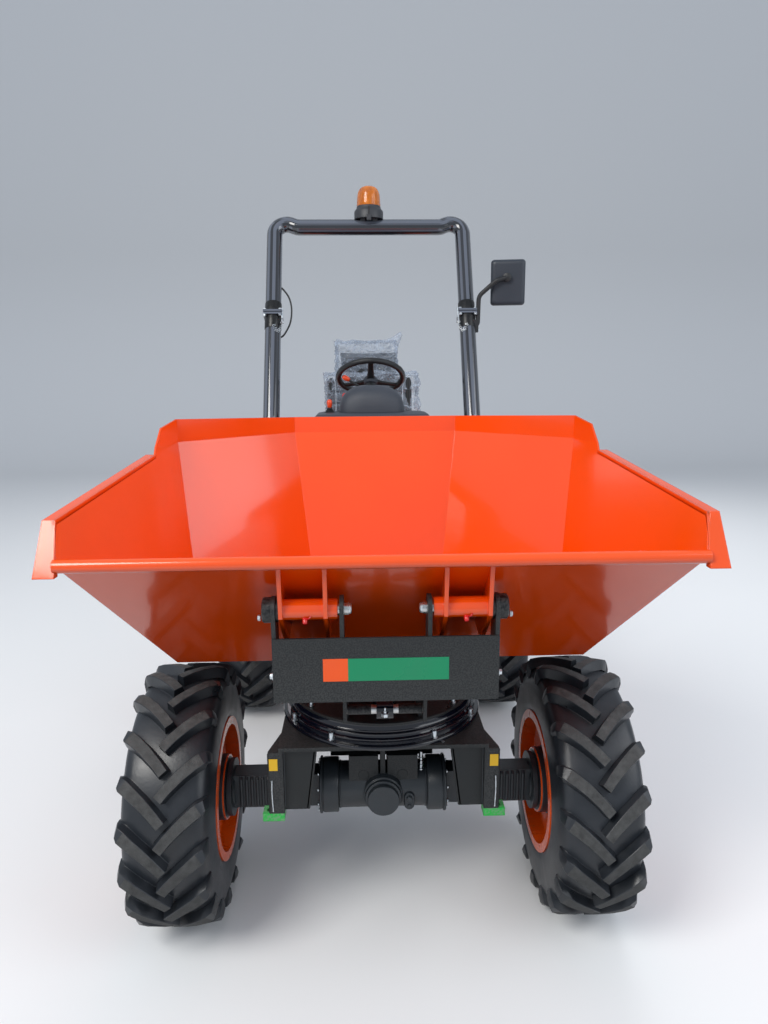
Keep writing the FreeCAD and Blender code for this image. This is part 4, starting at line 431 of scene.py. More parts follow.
def stage():
    """Floor, backdrop, sky and lamps."""
    scene = bpy.context.scene
    mesh = bpy.data.meshes.new("floor")
    # the floor runs up into the backdrop in one sweep
    near, far, bend, half, tall = -14, 9, 4, 16, 16
    rows = [(near, 0), (far, 0)]
    rows += [(far + bend * math.sin(a), bend - bend * math.cos(a)) for a in map(math.radians, range(10, 91,
        10))]
    rows.append((far + bend, tall))
    verts = [(x, y, z) for y, z in rows for x in (-half, half)]
    mesh.from_pydata(verts, [], [(2 * i, 2 * i + 1, 2 * i + 3, 2 * i + 2) for i in range(len(rows) - 1)])
    mesh.shade_smooth()
    floor = bpy.data.objects.new("floor", mesh)
    scene.collection.objects.link(floor)
    pale = bpy.data.materials.new("floor_pale")
    pale.use_nodes = True
    tree = pale.node_tree
    shader = tree.nodes["Principled BSDF"]
    shader.inputs["Roughness"].default_value = 0.9
    # as pale to the eye as a studio floor, while it throws up as little light as the yard's paving
    path, mix = tree.nodes.new("ShaderNodeLightPath"), tree.nodes.new("ShaderNodeMix")
    mix.data_type = "RGBA"
    mix.inputs[6].default_value, mix.inputs[7].default_value = (0.8, 0.805, 0.81, 1), (0.3, 0.295, 0.285, 1)
    tree.links.new(path.outputs["Is Diffuse Ray"], mix.inputs[0])
    tree.links.new(mix.outputs[2], shader.inputs["Base Color"])
    mesh.materials.append(pale)
    scene.view_settings.view_transform = "Standard"
    world = scene.world = bpy.data.worlds.new("world")
    world.use_nodes = True
    back = world.node_tree.nodes["Background"]
    back.inputs["Color"].default_value = (0.8, 0.88, 1.0, 1)
    back.inputs["Strength"].default_value = 0.66
    middle = V((0, -0.3, 0.7))
    for name, place, energy, size, colour in (("key", (-3.5, -4.5, 5.5), 330, 3.0, (1, 0.98, 0.94)), ("fill",
            (4.5, -3.0, 3.5), 110, 4.0, (0.94, 0.97, 1)), ("back", (1.5, 5.0, 5.0), 170, 4.0, (1, 1, 1))):
        light = bpy.data.lights.new(name, "AREA")
        light.energy, light.size, light.color = energy, size, colour
        lamp = bpy.data.objects.new(name, light)
        lamp.location = place
        lamp.visible_glossy = name != "back"
        lamp.rotation_euler = (middle - V(place)).to_track_quat("-Z", "Y").to_euler()
        scene.collection.objects.link(lamp)


# wheels

# name, side and middle
WHEELS = [(end + side, sign, V((sign * TRACK, y, TYRE))) for end, y in (("front_", FRONT), ("rear_", REAR))
    for side, sign in (("left", 1), ("right", -1))]
# lug stations from the tread's middle to the shoulder:
# top x, top radius, foot x, foot radius, rise in degrees, half width on top, half width at the foot
LUG = [(-0.005, 0.38, -0.005, 0.349, 0.0, 0.015, 0.0195), (0.018, 0.38, 0.018, 0.349, 4.2, 0.0155, 0.02),
    (0.05, 0.3792, 0.05, 0.348, 9.2, 0.0165, 0.021), (0.08, 0.377, 0.08, 0.3455, 13.2, 0.0175, 0.0225),
    (0.102, 0.3715, 0.098, 0.337, 15.8, 0.0185, 0.024), (0.115, 0.361, 0.104, 0.331, 17.2, 0.019, 0.024),
    (0.1205, 0.34, 0.108, 0.321, 18.0, 0.0185, 0.0225), (0.1205, 0.315, 0.1115, 0.306, 18.4, 0.014, 0.018)]
# radius, then how far the carcass reaches towards the machine and away from it
CARCASS = mm((196, 98, 98), (200, 105, 105), (212, 110, 110), (222, 113.5, 115.5), (226, 114, 117.5), (228,
    114.5, 119), (236, 114.8, 122.5), (255, 115, 125.5), (280, 114.2, 126), (305, 111.5, 123.5), (325, 106,
    118), (338, 96, 108), (345, 78, 90), (349, 48, 60), (350.5, 16, 28))
# lugs a side, the tread's shift outwards, the lugs' worn corner, and how many stations have a worn top
LUGS, TREAD_OUT, CORNER, WORN = 18, 0.006, 0.0015, 4


def tyres():
    for name, sign, centre in WHEELS:
        piece = Piece(name + "_tread", name + "_wheel", "tyre", rubber, worn_rubber, sharp=32)
        profile = [(-a, r) for r, a, b in CARCASS] + [(b, r) for r, a, b in reversed(CARCASS)]
        piece.lathe(centre, X * sign, profile, 96, closed=True)

        def at(x, radius, angle):
            return centre + V((x + sign * TREAD_OUT, -radius * math.cos(angle), radius * math.sin(angle)))

        for half in (1, -1):
            for k in range(LUGS):
                base = 2 * math.pi * (k + (0.5 if half < 0 else 0)) / LUGS + 0.11
                rings = []
                for i, (tx, tr, fx, fr, rise, top, foot) in enumerate(LUG):
                    before, after = LUG[max(i - 1, 0)], LUG[min(i + 1, len(LUG) - 1)]
                    dx = max(after[0] - before[0], 0.012)
                    ds = math.radians(after[4] - before[4]) * TYRE
                    length = math.hypot(dx, ds)
                    # across the lug's direction, in the tread's surface, less so down the shoulder
                    skew, swing = -ds / length * (0.9 if i < 5 else 0.35), dx / length
                    angle = base + math.radians(rise)
                    rings.append([at(half * (px + skew * w), pr, angle + swing * w / TYRE) for px, pr,
                        w in ((fx, fr, -foot), (tx, tr - CORNER, -top), (tx, tr, -top + CORNER), (tx, tr,
                        top - CORNER), (tx, tr - CORNER, top), (fx, fr, foot))])
                start = len(piece.faces)
                piece.rings(rings)
                for station in range(WORN):
                    # the third of the six faces round a station is its top
                    piece.index[start + station * 6 + 2] = 1
        piece.done(name + "_tyre")


def wheel_trim():
    """Wheel nuts, valve, brake drum and hub cap."""
    for name, sign, centre in WHEELS:
        out = X * sign
        nuts = Piece(name + "_nuts", name + "_wheel", "steel", zinc)
        for a in around(6, 0.4):
            nuts.bolt(centre + out * 0.0345 + turned(Y, Z, a) * 0.082, out, 0.0125, stud=0.012)
        nuts.lathe(centre + out * 0.02 + (Y * 0.5 + Z * 0.866) * 0.152, out, mm((0, 6), (30, 6), (31, 4), (50,
            4)), 12)
        nuts.done()
        drum = Piece(name + "_drum", name + "_wheel", "chassis_paint", casting, zinc)
        back = centre - out * 0.1128
        drum.lathe(back, out, mm((0, 45), (0, 90), (6, 97.5), (30, 97.5), (32, 101.5), (44, 101.5), (46,
            97.5), (98, 97.5), (100, 112), (112, 112)), 40, caps=False)
        for a in around(8, 0.2):
            drum.bolt(back + turned(Y, Z, a) * 0.074, -out, 0.006, 1, washer=False)
        drum.lathe(centre + out * 0.0145, out, mm((32, 0), (32, 54.5), (44, 53.5), (48, 42), (52, 34), (52,
            0.1)), 32)
        drum.done()


# axles, front frame and swivel table

def axle_trim():
    """Ribs, collars, screws, cap and plugs of the cast axles, and the brackets over them."""
    for end, body, y, ahead in (("front", "front_chassis", FRONT, -1), ("rear", "rear_chassis", REAR, 1)):
        piece = Piece(end + "_axle_trim", body, "chassis_paint", casting, zinc, charcoal, bevel=0.0008)
        middle = V((0, y, TYRE))
        for sign in (1, -1):
            out = X * sign
            # cast ribs down the front and rear of the arm
            for k in range(6):
                piece.slab(middle + out * (0.352 + k * 0.0165), X, Y, Z, mm((-52, 4.8, 34, 3), (-46, 4.8,
                    40.5, 3), (43, 4.8, 40.5, 3), (50, 4.8, 34, 3)), n=2)
            # stepped collar with its screws
            piece.lathe(middle + out * 0.1355, out, mm((0, 68.5), (0.5, 79.5), (4, 82.2), (46, 82.2), (48,
                79.5)), 48, caps=False)
            piece.lathe(middle + out * 0.1865, out, mm((0, 60), (0, 84.5), (1.5, 85.5), (5.5, 85.5), (7, 84),
                (7, 40)), 48, caps=False)
            for a in around(10, math.pi / 10):
                piece.bolt(middle + out * 0.1935 + turned(Y, Z, a) * 0.0735, out, 0.0052, 1, washer=False)
            piece.lathe(middle + out * 0.128, out, mm((0, 68.5), (2, 71.5), (5, 71.5), (8, 68.5)), 48,
                caps=False)
            piece.lathe(middle + out * 0.468, out, mm((-14, 50), (0, 66), (4, 78), (12, 89.5), (22, 89.5)),
                40, caps=False)
        # stepped seat of the round cap, with its own screws
        front = Y * ahead
        piece.lathe(middle + front * 0.045, front, mm((0, 64), (14, 63.5), (20, 60.5), (27, 59.5), (30, 54.5),
            (40, 54), (42, 47.5)), 56, caps=False)
        piece.lathe(middle + front * 0.0975, front, mm((-4, 47.4), (3, 48.2), (6.2, 47.8), (7.8, 46.5), (8.5,
            0)), 56, caps=False)
        # oval boss with its plug
        at = middle + V((0.0795, ahead * 0.05, -0.019))
        piece.slab(at, X, Z, front, mm((0, 16.5, 30, 16.5), (24, 15.5, 28.5, 15.5), (27.5, 13.5, 26.5, 13.5)),
            n=6)
        at += front * 0.0275
        piece.lathe(at + Z * 0.01, front, mm((0, 9.5), (6, 9.5), (7.5, 8)), 6)
        piece.lathe(at - Z * 0.014, front, mm((0, 6), (4, 6), (5, 4.5)), 16)
        # clamps round the axle's housing, and the nipples of the front axle's brakes
        for x0, x1 in ((-0.1035, -0.014), (0.014, 0.106)):
            piece.box((x0, y - 0.055, TYRE + 0.04), (x1, y + 0.062, TYRE + 0.122), 2)
            piece.lathe(((x0 + x1) / 2, y - 0.056, TYRE + 0.06), Y, mm((0, 16), (118, 16)), 24, 2)
        piece.box((-0.0075, y - 0.055, TYRE + 0.055), (0.0075, y + 0.02, 0.5965), 2)
        if end == "front":
            for z, radius, tall in ((0.062, 0.01, 0.004), (0.066, 0.0065, 0.01), (0.076, 0.0085, 0.003),
                    (0.079, 0.0055, 0.009), (0.088, 0.0085, 0.003), (0.091, 0.0055, 0.009), (0.1, 0.0085,
                    0.003), (0.103, 0.006, 0.018)):
                piece.lathe(middle + V((0.118, -0.03, z)), Z, [(0, radius), (tall, radius)], 16, 1)
        piece.done()


WING = FRONT - 0.2012  # just ahead of the front plates' wings


def chassis_trim():
    """Screws, stepped ring, labels, folded edges and welds of the front frame."""
    bolts = Piece("front_frame_bolts", "front_chassis", "steel", zinc)
    for a in map(math.radians, (25, 60.5, 120.5, 153.5, 207, 240, 270, 300, 333)):
        bolts.screw(V((0, RING, DECK + 0.01)) + turned(X, -Y, a) * 0.2935, Z, 0.0075, 0.022)
    for x in (-0.122, 0.112):
        bolts.lathe((x, FRONT - 0.174, DECK), Z, mm((0, 7.5), (2.5, 7.5), (4.5, 4), (4.5, 0)), 14)
    bolts.lathe((0.168, FRONT - 0.182, DECK), Z, mm((0, 4.5), (2, 4.5), (3, 0)), 12)
    for sign in (1, -1):
        bolts.tube(curve([(sign * 0.3175, WING, 0.515), (sign * 0.3185, WING - 0.0008, 0.475), (sign * 0.3165,
            WING, 0.418)], 4), 0.0021, 8)
    bolts.done()
    ring = Piece("ring_steps", "front_chassis", "gloss_black", gloss_black)
    ring.lathe((0, RING, DECK), Z, mm((0.5, 298), (0.5, 306.5), (2, 307.5), (7.5, 307.5), (10.2, 305.5), (11,
        298), (11.2, 294.5), (20, 293), (22.5, 294), (25.5, 294), (27.5, 292.2), (28.5, 285), (37, 283.5),
        (38.3, 281.5), (38.4, 271)), 160, caps=False)
    ring.done()
    labels = Piece("chassis_labels", "front_chassis", "chassis_paint", yellow, white_film)
    for sign in (1, -1):
        labels.box((sign * 0.3, WING, 0.5445), (sign * 0.324, WING + 0.0014, 0.58))
    # pale film on the stepped ring
    foot, top = (0.2955, 0.0117), (0.294, 0.0375)
    labels.prism([V((0, RING, DECK + z)) + turned(X, -Y, math.radians(a)) * r for a, (r, z) in ((160, foot),
        (168, foot), (168, top), (160, top))], V((-0.001, -0.0003, 0)), 1)
    labels.done()
    folds = Piece("front_frame_folds", "front_chassis", "chassis_paint", charcoal, casting, bevel=0.001)
    web = FRONT - 0.18
    for sign in (1, -1):
        # turned edge of each front web, the wing's rolled edge and the weld under the deck
        a, b = V((sign * 0.192, web, 0.599)), V((sign * 0.2165, web, 0.413))
        wide = V((sign * 0.007, 0, 0))
        folds.prism([a, b, b + wide, a + wide], (0, 0.045, 0))
        folds.tube([a + Y * 0.002, b + Y * 0.002], 0.0035, 8)
        folds.tube([(sign * 0.3262, WING + 0.0027, z) for z in (0.4135, 0.596)], 0.0028, 8)
        folds.tube(curve([(sign * x, web + 0.0035, 0.5988) for x in (0.19, 0.21, 0.23, 0.25, 0.27, 0.284)],
            3), [0.0035 + 0.0006 * math.sin(k * 2.3) for k in range(16)], 8, 1)
        folds.tube([(sign * 0.2845, web + 0.002, z) for z in (0.5975, 0.416)], 0.0032, 8, 1)
    folds.done()


def table_trim():
    """Screws, edges, pin caps, nipples and the blank signs of the swivel table."""
    bolts = Piece("table_bolts", "swivel_table", "steel", zinc)
    for a in map(math.radians, (36.5, 143.5, 216, 270, 324)):
        bolts.screw(V((0, RING, TABLE - 0.0005)) + turned(X, -Y, a) * 0.2605, Z, 0.0068, 0.017)
    for sign in (1, -1):
        out = X * sign
        bolts.bolt((sign * 0.2695, -1.447, 0.9365), out, 0.0072)
        bolts.bolt(TIP + out * 0.294 + V((0, -0.006, -0.017)), out, 0.0075, washer=False)
        bolts.lathe(TIP + out * 0.089, -out, mm((0, 13), (6, 13), (8.5, 10.5), (8.5, 0)), 24)
    bolts.done()
    # glossy step under the plate's painted edge
    edge = Piece("table_edge", "swivel_table", "gloss_black", gloss_black, charcoal)
    edge.lathe((0, RING, TABLE), Z, mm((-29, 264), (-29, 279.5), (-26, 280.8), (-23.5, 280.8), (-21, 278.5),
        (-8.5, 277), (-8, 264)), 160, caps=False)
    edge.lathe((0, RING, TABLE), Z, mm((-8, 265), (-8, 278.2), (-7.2, 279), (-1.2, 279), (-0.4, 278.2), (-0.2,
        250)), 160, 1, caps=False)
    edge.done()
    caps = Piece("pin_caps", "swivel_table", "gloss_black", table_black)
    for sign in (1, -1):
        out = X * sign
        caps.lathe(TIP + out * 0.2692, out, mm((0, 29.5), (0, 30.5), (18, 30.5), (21.5, 27), (21.5, 12),
            (19.5, 10), (19.5, 0)), 36)
        caps.lathe(TIP + out * 0.2505, out, mm((0, 16), (0, 28.5), (8, 28.5), (8, 16)), 36, caps=False)
    # painted shade: a dark sleeve over the barrel's pin between the ribs, where the pin lies in shadow
    for x0, x1 in ((-0.0985, -0.036), (0.036, 0.0985)):
        caps.lathe((x0, FRONT - 0.3, 0.773), X, [(0, 0.0128), (x1 - x0, 0.0128)], 24)
    caps.done()
    grease = Piece("barrel_nipple", "tip_barrel", "steel", zinc)
    at = V((0, FRONT - 0.3315, 0.768))
    grease.lathe(at, Z, mm((0, 9.5), (8, 9.5), (9, 8.5)), 6, turn=0.4)
    grease.lathe(at + Z * 0.009, Z, mm((0, 4.2), (6, 4.2), (7.5, 2.6), (12, 3), (15, 1.6)), 12)
    grease.done()
    plates = Piece("front_sign", "swivel_table", "chassis_paint", sign_orange, sign_green)
    for mat, left, right in ((0, -0.15, -0.091), (1, -0.091, 0.149)):
        plates.box((left, -1.4612, 0.926), (right, -1.46, 0.9825), mat)
    plates.done(smooth=False)
    nipples = Piece("nipple_caps", "skip", "lever_knobs", red_plastic)
    way = V((0, -0.72, -0.69)).normalized()
    for x in (-0.19, 0.19):
        at = TIP + X * x + way * 0.0245
        nipples.lathe(at, way, mm((0, 5.5), (4, 6.2), (12, 5.8), (15, 3.5), (15, 0)), 16)
        nipples.tube(curve([at + V((0.004, -0.002, 0)), at + V((0.01, -0.008, 0.002)), at + V((0.013, -0.006,
            0.007)), at + V((0.01, 0.002, 0.009))], 4), 0.0018, 6)
    nipples.done()


# driver's place

def dash():
    """The dash's shell and dials, and the steering wheel with its boot."""
    piece = Piece("dash_shell", "rear_chassis", "dash_plastic", plastic, black_plastic, sharp=50)
    # height, half width, front y, back y, corner radius
    sections = [(0.807, 0.15, 0.232, 0.37, 0.03), (0.95, 0.158, 0.23, 0.372, 0.035), (1.12, 0.175, 0.226,
        0.384, 0.04), (1.24, 0.215, 0.216, 0.425, 0.05), (1.33, 0.253, 0.209, 0.47, 0.055), (1.4, 0.264,
        0.207, 0.493, 0.05), (1.437, 0.263, 0.209, 0.5, 0.05), (1.45, 0.253, 0.219, 0.492, 0.042), (1.4545,
        0.23, 0.24, 0.47, 0.03)]
    piece.rings([rounded((0, (y0 + y1) / 2, z), X, Y, half, (y1 - y0) / 2, radius, 6) for z, half, y0, y1,
        radius in sections])
    # hooded binnacle
    rows, low = [], 1.44
    for y, half, top in ((0.33, 0.076, 1.482), (0.336, 0.109, 1.52), (0.348, 0.132, 1.547), (0.366, 0.145,
            1.565), (0.39, 0.1525, 1.575), (0.42, 0.1545, 1.579), (0.442, 0.154, 1.578), (0.4525, 0.1515,
            1.574), (0.4565, 0.146, 1.568)):
        ring = []
        for i in range(29):
            a = math.pi * i / 28
            groove = 0.0014 if i == 14 else 0
            ring.append(V((half * math.copysign(abs(math.cos(a)) ** 0.75, math.cos(a)), y,
                low + (top - low) * math.sin(a) ** 0.74 - groove)))
        rows.append(ring)
    piece.rings(rows)
    # instrument panel that faces the driver
    piece.slab((0, 0.4563, 1.503), X, Z, Y, mm((0, 104, 36, 28), (2.7, 101, 33, 26)), 1)
    piece.done("dash_console")
    dials = Piece("dash_dials", "rear_chassis", "dash_plastic", black_plastic, white_film, red_plastic)
    for x, radius in ((-0.058, 0.022), (0, 0.024), (0.058, 0.022)):
        at = V((x, 0.4585, 1.503))
        dials.lathe(at, Y, [(0, radius), (0.004, radius), (0.004, radius - 0.003), (0.002, radius - 0.003)],
            28, 0, caps=False)
        dials.lathe(at, Y, [(0, radius - 0.003), (0.0018, radius - 0.003)], 28, 1)
        dials.box(at + V((-0.0008, 0.002, 0)), at + V((0.0008, 0.003, radius * 0.7)), 2, Quaternion(Y, 0.7),
            at + Y * 0.002)
    for k in range(5):
        dials.lathe((-0.07 + 0.035 * k, 0.476, 1.4525), (0, 0.2, 0.98), mm((0, 9), (6, 9), (8, 7)), 16, 0)
    dials.done()
    axis = V((0, 0.5, math.sqrt(0.75)))
    wheel = V((0, 0.7345, 1.622)) - axis * 0.013
    back = axis.cross(X)
    piece = Piece("wheel_grip", "steering_wheel", "dash_plastic", black_plastic, plastic, sharp=60)
    rim_radius, grip_radius, fingers = 0.1635, 0.0145, 24
    rings = []
    for a in around(72):
        out = turned(X, back, a)
        grip = grip_radius + 0.0006 * math.cos(fingers * a)
        rings.append([wheel + out * rim_radius + turned(out, axis, b) * grip for b in around(12)])
    piece.rings(rings, closed=True)
    for a in map(math.radians, (90, 210, 330)):
        out = turned(X, -back, a)
        piece.rings([rounded(wheel + out * along - axis * drop, axis.cross(out), axis, half, thick,
            thick * 0.9, 3) for along, half, thick, drop in ((0.018, 0.023, 0.008, 0.02), (0.05, 0.018, 0.007,
            0.018), (0.1, 0.0145, 0.006, 0.01), (0.156, 0.0135, 0.006, 0.001))])
    piece.lathe(wheel - axis * 0.04, axis, mm((0, 30), (4, 34), (28, 36), (36, 30), (40, 18), (41, 0)), 32, 1)
    piece.done("steering_wheel")
    column = Piece("column_boot", "rear_chassis", "dash_plastic", black_plastic)
    column.lathe(wheel - axis * 0.19, axis, mm((0, 46), (10, 50), (20, 44), (32, 48), (44, 41), (56, 44), (68,
        36), (80, 34), (140, 30), (148, 27)), 28)
    column.done()


def levers():
    """Two levers with gaiters on the dash, and the stalk beside the column."""
    piece = Piece("lever_set", "rear_chassis", "lever_knobs", orange_plastic, red_plastic, black_plastic,
        zinc, sharp=50)
    for x, y, z, mat, size in ((-0.124, 0.4815, 1.519, 1, 1.15), (-0.198, 0.3865, 1.492, 0, 0.9)):
        foot, top = V((x, y, 1.4535)), V((x, y, z - 0.018))
        piece.lathe(foot, Z, mm((0, 24), (4, 24), (7, 18), (10, 20), (14, 13), (18, 15), (23, 9), (26, 6)),
            20, 2)
        piece.tube([foot, top], 0.0048, 10, 3)
        piece.lathe(top, Z, [(0, 0.007 * size), (0.004, 0.011 * size), (0.016, 0.0135 * size), (0.028,
            0.0145 * size), (0.036, 0.0115 * size), (0.0395, 0.006 * size), (0.04, 0)], 20, mat)
    # stalk beside the column, with its knob below the wheel's rim
    start, end = V((-0.022, 0.693, 1.55)), V((-0.126, 0.6885, 1.608))
    way = (end - start).normalized()
    piece.tube(curve([start, start + way * 0.03 - Z * 0.004, end - way * 0.03 - Z * 0.003, end - way * 0.012],
        5), [0.0075] * 5 + [0.0062] * 5 + [0.0056] * 6, 12, 2)
    piece.lathe(end - way * 0.022, way, mm((0, 6), (3, 9.5), (14, 12.5), (27, 13), (36, 10.5), (40.5, 5), (41,
        0)), 24, 0)
    piece.done("control_levers")


SEAM_WIDTH, SEAM_DEPTH, PIPING = 0.035, 0.006, 0.0042


def quads(index, key, n, side):
    """Faces of a grid n by n, whose point i, j is index[key + (i, j)]."""
    faces = []
    for i in range(n):
        for j in range(n):
            quad = [index[key + (i + a, j + b)] for a, b in ((0, 0), (1, 0), (1, 1), (0, 1))]
            faces.append(tuple(quad if side > 0 else reversed(quad)))
    return faces


def cushion(piece, low, high, crown, pull, thin, seams=(-0.5, 0.5)):
    """Crowned pad: sides pull in between the corners, with a piped edge and sewn channels."""
    low, high = V(low), V(high)
    middle, half = (low + high) / 2, (high - low) / 2
    u, v = [i for i in range(3) if i != thin]
    n = 26
    face, verts, faces = {}, [], []
    for side in (-1, 1):
        for i in range(n + 1):
            for j in range(n + 1):
                a, b = 2 * i / n - 1, 2 * j / n - 1
                ra, rb, edge = 1 - a * a, 1 - b * b, max(abs(a), abs(b))
                p = V()
                p[u] = half[u] * a * (1 - pull * rb * abs(a) ** 6)
                p[v] = half[v] * b * (1 - pull * ra * abs(b) ** 6)
                swell = (1 - edge ** 5) ** 0.5
                # a pad that lies flat is crowned only on top
                bulge = crown * (ra * rb) ** 0.35 if side > 0 or thin != 2 else 0
                seam = sum(math.exp(-((a - s) / SEAM_WIDTH) ** 2)
                    for s in seams) * SEAM_DEPTH * (1 - edge ** 8)
                p[thin] = side * (half[thin] * (0.62 + 0.38 * swell) - crown + bulge - seam)
                face[(side, i, j)] = len(verts)
                verts.append(middle + p)
        faces += quads(face, (side,), n, side)
    rim = [(i, 0) for i in range(n)] + [(n, j) for j in range(n)]
    rim += [(n - i, n - j) for i, j in rim]
    for k, here in enumerate(rim):
        there = rim[(k + 1) % len(rim)]
        faces.append((face[(1, *here)], face[(-1, *here)], face[(-1, *there)], face[(1, *there)]))
    piece.add(verts, faces)
    piece.tube([verts[face[(1, *p)]] * 0.75 + verts[face[(-1, *p)]] * 0.25 for p in rim], PIPING, 8,
        closed=True)


def bag(name, low, high, puff, seed, spikes, sag):
    """Crumpled clear bag, open below: it puffs out, sags along its hem and is drawn to points at corners.

    A spike is (corner of the unit cube, how far it is drawn out)."""
    low, high = V(low) - V((puff,) * 3), V(high) + V((puff,) * 3)
    middle, half = (low + high) / 2, (high - low) / 2
    n = 40
    piece = Piece(name, "hood", "seat_cover", film, sharp=180)
    verts, faces, index = [], [], {}
    for axis in range(3):
        for side in (-1, 1):
            if axis == 2 and side < 0:
                continue
            for i in range(n + 1):
                for j in range(n + 1):
                    p = [0, 0, 0]
                    p[axis], p[(axis + 1) % 3], p[(axis + 2) % 3] = side, 2 * i / n - 1, 2 * j / n - 1
                    key = tuple(round(c, 5) for c in p)
                    if key not in index:
                        index[key] = len(verts)
                        q = V([half[k] * p[k] for k in range(3)])
                        big = noise.noise_vector(V(p) * 2.1 + X * seed) * 0.02
                        crumple = noise.noise_vector(V(p) * 6.5 + Y * seed) * 0.01
                        ridge = 1 - abs(noise.noise(V(p) * 5 + Z * seed)) * 3
                        q += big + crumple + q.normalized() * max(0, ridge) * 0.008
                        if p[2] < 0:
                            q.z += sag * p[2] * (0.5 + noise.noise(V((p[0] * 2.5, p[1] * 2.5, seed))))
                        for corner, push in spikes:
                            near = max(0.0, 1 - (V(p) - V(corner)).length / 0.7)
                            q += V(push) * near ** 2
                        verts.append(middle + q)
                    index[(axis, side, i, j)] = index[key]
            faces += quads(index, (axis, side), n, side)
    piece.add(verts, faces)
    return piece.done()


def seat():
    """Cushion and backrest with their clear bags, and the seat's rails."""
    low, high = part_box("seat_cushion")
    pad = Piece("seat_pad", "hood", "seat_cover", vinyl, sharp=70)
    cushion(pad, low, high, 0.018, 0.05, 2)
    pad.done("seat_cushion")
    low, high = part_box("seat_backrest")
    front, hips, half = high.y - 0.08, 1.6, 0.165
    pad = Piece("back_pad", "hood", "seat_cover", vinyl, sharp=70)
    cushion(pad, (-half, front, low.z + 0.3), (half, high.y, high.z), 0.016, 0.05, 1, (0.0,))
    cushion(pad, (-0.2, front - 0.002, low.z + 0.115), (0.2, high.y, hips), 0.016, 0.04, 1)
    # board behind the pads, then the side bolsters
    board = (0.15, (high.z - low.z) / 2 - 0.01, 0.03)
    pad.slab((0, high.y, (low.z + high.z) / 2), X, Z, Y, [(-0.02, *board), (-0.002, *board)], n=3)
    for x0, x1 in ((high.x - 0.045, high.x), (-high.x, 0.045 - high.x)):
        cushion(pad, (x0, low.y, low.z + 0.112), (x1, high.y, hips), 0.008, 0.03, 0, ())
    pad.done("seat_backrest")
    bag("seat_bag", (-0.235, low.y + 0.02, hips - 0.15), (0.262, high.y + 0.008, hips + 0.012), 0.012, 3.1,
        (((1, -1, -1), (0.02, -0.02, -0.035)), ((-1, -1, 1), (-0.012, 0, 0.02))), 0.035)
    bag("back_bag", (-0.176, front + 0.004, hips + 0.03), (0.146, high.y + 0.014, high.z + 0.052), 0.01, 8.7,
        (((-1, -1, 1), (-0.018, 0, 0.012)), ((1, -1, 1), (0.02, 0, 0.062))), 0.02)
    base = Piece("seat_base", "hood", "seat_cover", black_plastic, bevel=0.002)
    for sign in (1, -1):
        base.box((sign * 0.215, 0.88, 1.2405), (sign * 0.24, 1.3, 1.256))
    base.done()


# arch, beacon, mirror

def bar_path(points, radius):
    """Straight runs with round corners."""
    points = [V(p) for p in points]
    out = [points[0]]
    for before, corner, after in zip(points, points[1:], points[2:]):
        a, b = (before - corner).normalized(), (after - corner).normalized()
        half = a.angle(b) / 2
        cut = min(radius / math.tan(half), (before - corner).length * 0.49, (after - corner).length * 0.49)
        centre = corner + (a + b).normalized() * math.hypot(cut, cut * math.tan(half))
        start, end = corner + a * cut - centre, corner + b * cut - centre
        turn, axis = start.angle(end), start.cross(end).normalized()
        out += [centre + Quaternion(axis, turn * i / 8) @ start for i in range(9)]
    return out + [points[-1]]


def arch():
    """Sleeves, bolts, locking pins and chains of the arch's fold, its feet's bolts and the beacon's cable."""
    wrap = Piece("fold_hardware", "arch_hoop", "arch_paint", table_black, zinc, bevel=0.0008)
    lower = Piece("post_hardware", "rear_chassis", "arch_paint", table_black, zinc, bevel=0.0008)
    for sign in (1, -1):
        across = X * sign * ARCH_X
        axis = FOLD + BEHIND * 0.054 + across
        # sleeves and bolts on both sides of the fold
        for piece, way, tall in ((wrap, UP, 0.048), (lower, -UP, 0.06)):
            at = FOLD + across + way * 0.012
            piece.lathe(at, way, [(0, 0.0365), (0, 0.04), (tall, 0.04), (tall + 0.004, 0.0385), (tall + 0.004,
                0.0365)], 32, caps=False)
            for dx in (-0.036, 0.036):
                piece.bolt(at + X * dx - BEHIND * 0.036, way, 0.0075, 1)
        for way in (-X, X):
            wrap.bolt(axis + way * 0.031, way, 0.008, 1)
        # locking pin ahead of the fold on its short chain
        pin = FOLD + across - BEHIND * 0.03 + X * sign * -0.046
        lower.lathe(pin - UP * 0.03, UP, mm((0, 5), (50, 5), (52, 3)), 12, 1)
        lower.loop(pin - UP * 0.043, BEHIND * 0.013, UP * 0.013, 20, 0.0018, 6)
        start, end = pin - UP * 0.055, FOLD + across - UP * 0.075 - BEHIND * 0.041 + X * sign * -0.01
        way = (end - start).normalized()
        for k in range(9):
            at = start.lerp(end, k / 8) - Z * 0.035 * math.sin(math.pi * k / 8) - BEHIND * 0.006
            side = way.cross(Z if k % 2 else Y).normalized()
            lower.loop(at, way * 0.0075, side * 0.0038, 12, 0.0013, 5)
    wrap.done()
    # feet
    for sign in (1, -1):
        for dx in (-0.044, 0.044):
            for dy in (-0.044, 0.044):
                lower.bolt((sign * ARCH_X + dx, 0.3195 + dy, 0.816), Z, 0.0085, 1)
    lower.done()
    cable = Piece("beacon_cable", "arch_hoop", "arch_paint", hose_rubber)
    cable.tube(curve([(x - ARCH_X, y, z) for x, y, z in ((0.03, 0.634, 2.045), (0.048, 0.63, 2.03), (0.074,
        0.622, 1.99), (0.085, 0.602, 1.935), (0.078, 0.578, 1.872), (0.052, 0.556, 1.82), (0.034, 0.548,
        1.804))], 8), 0.0042, 8)
    cable.done()


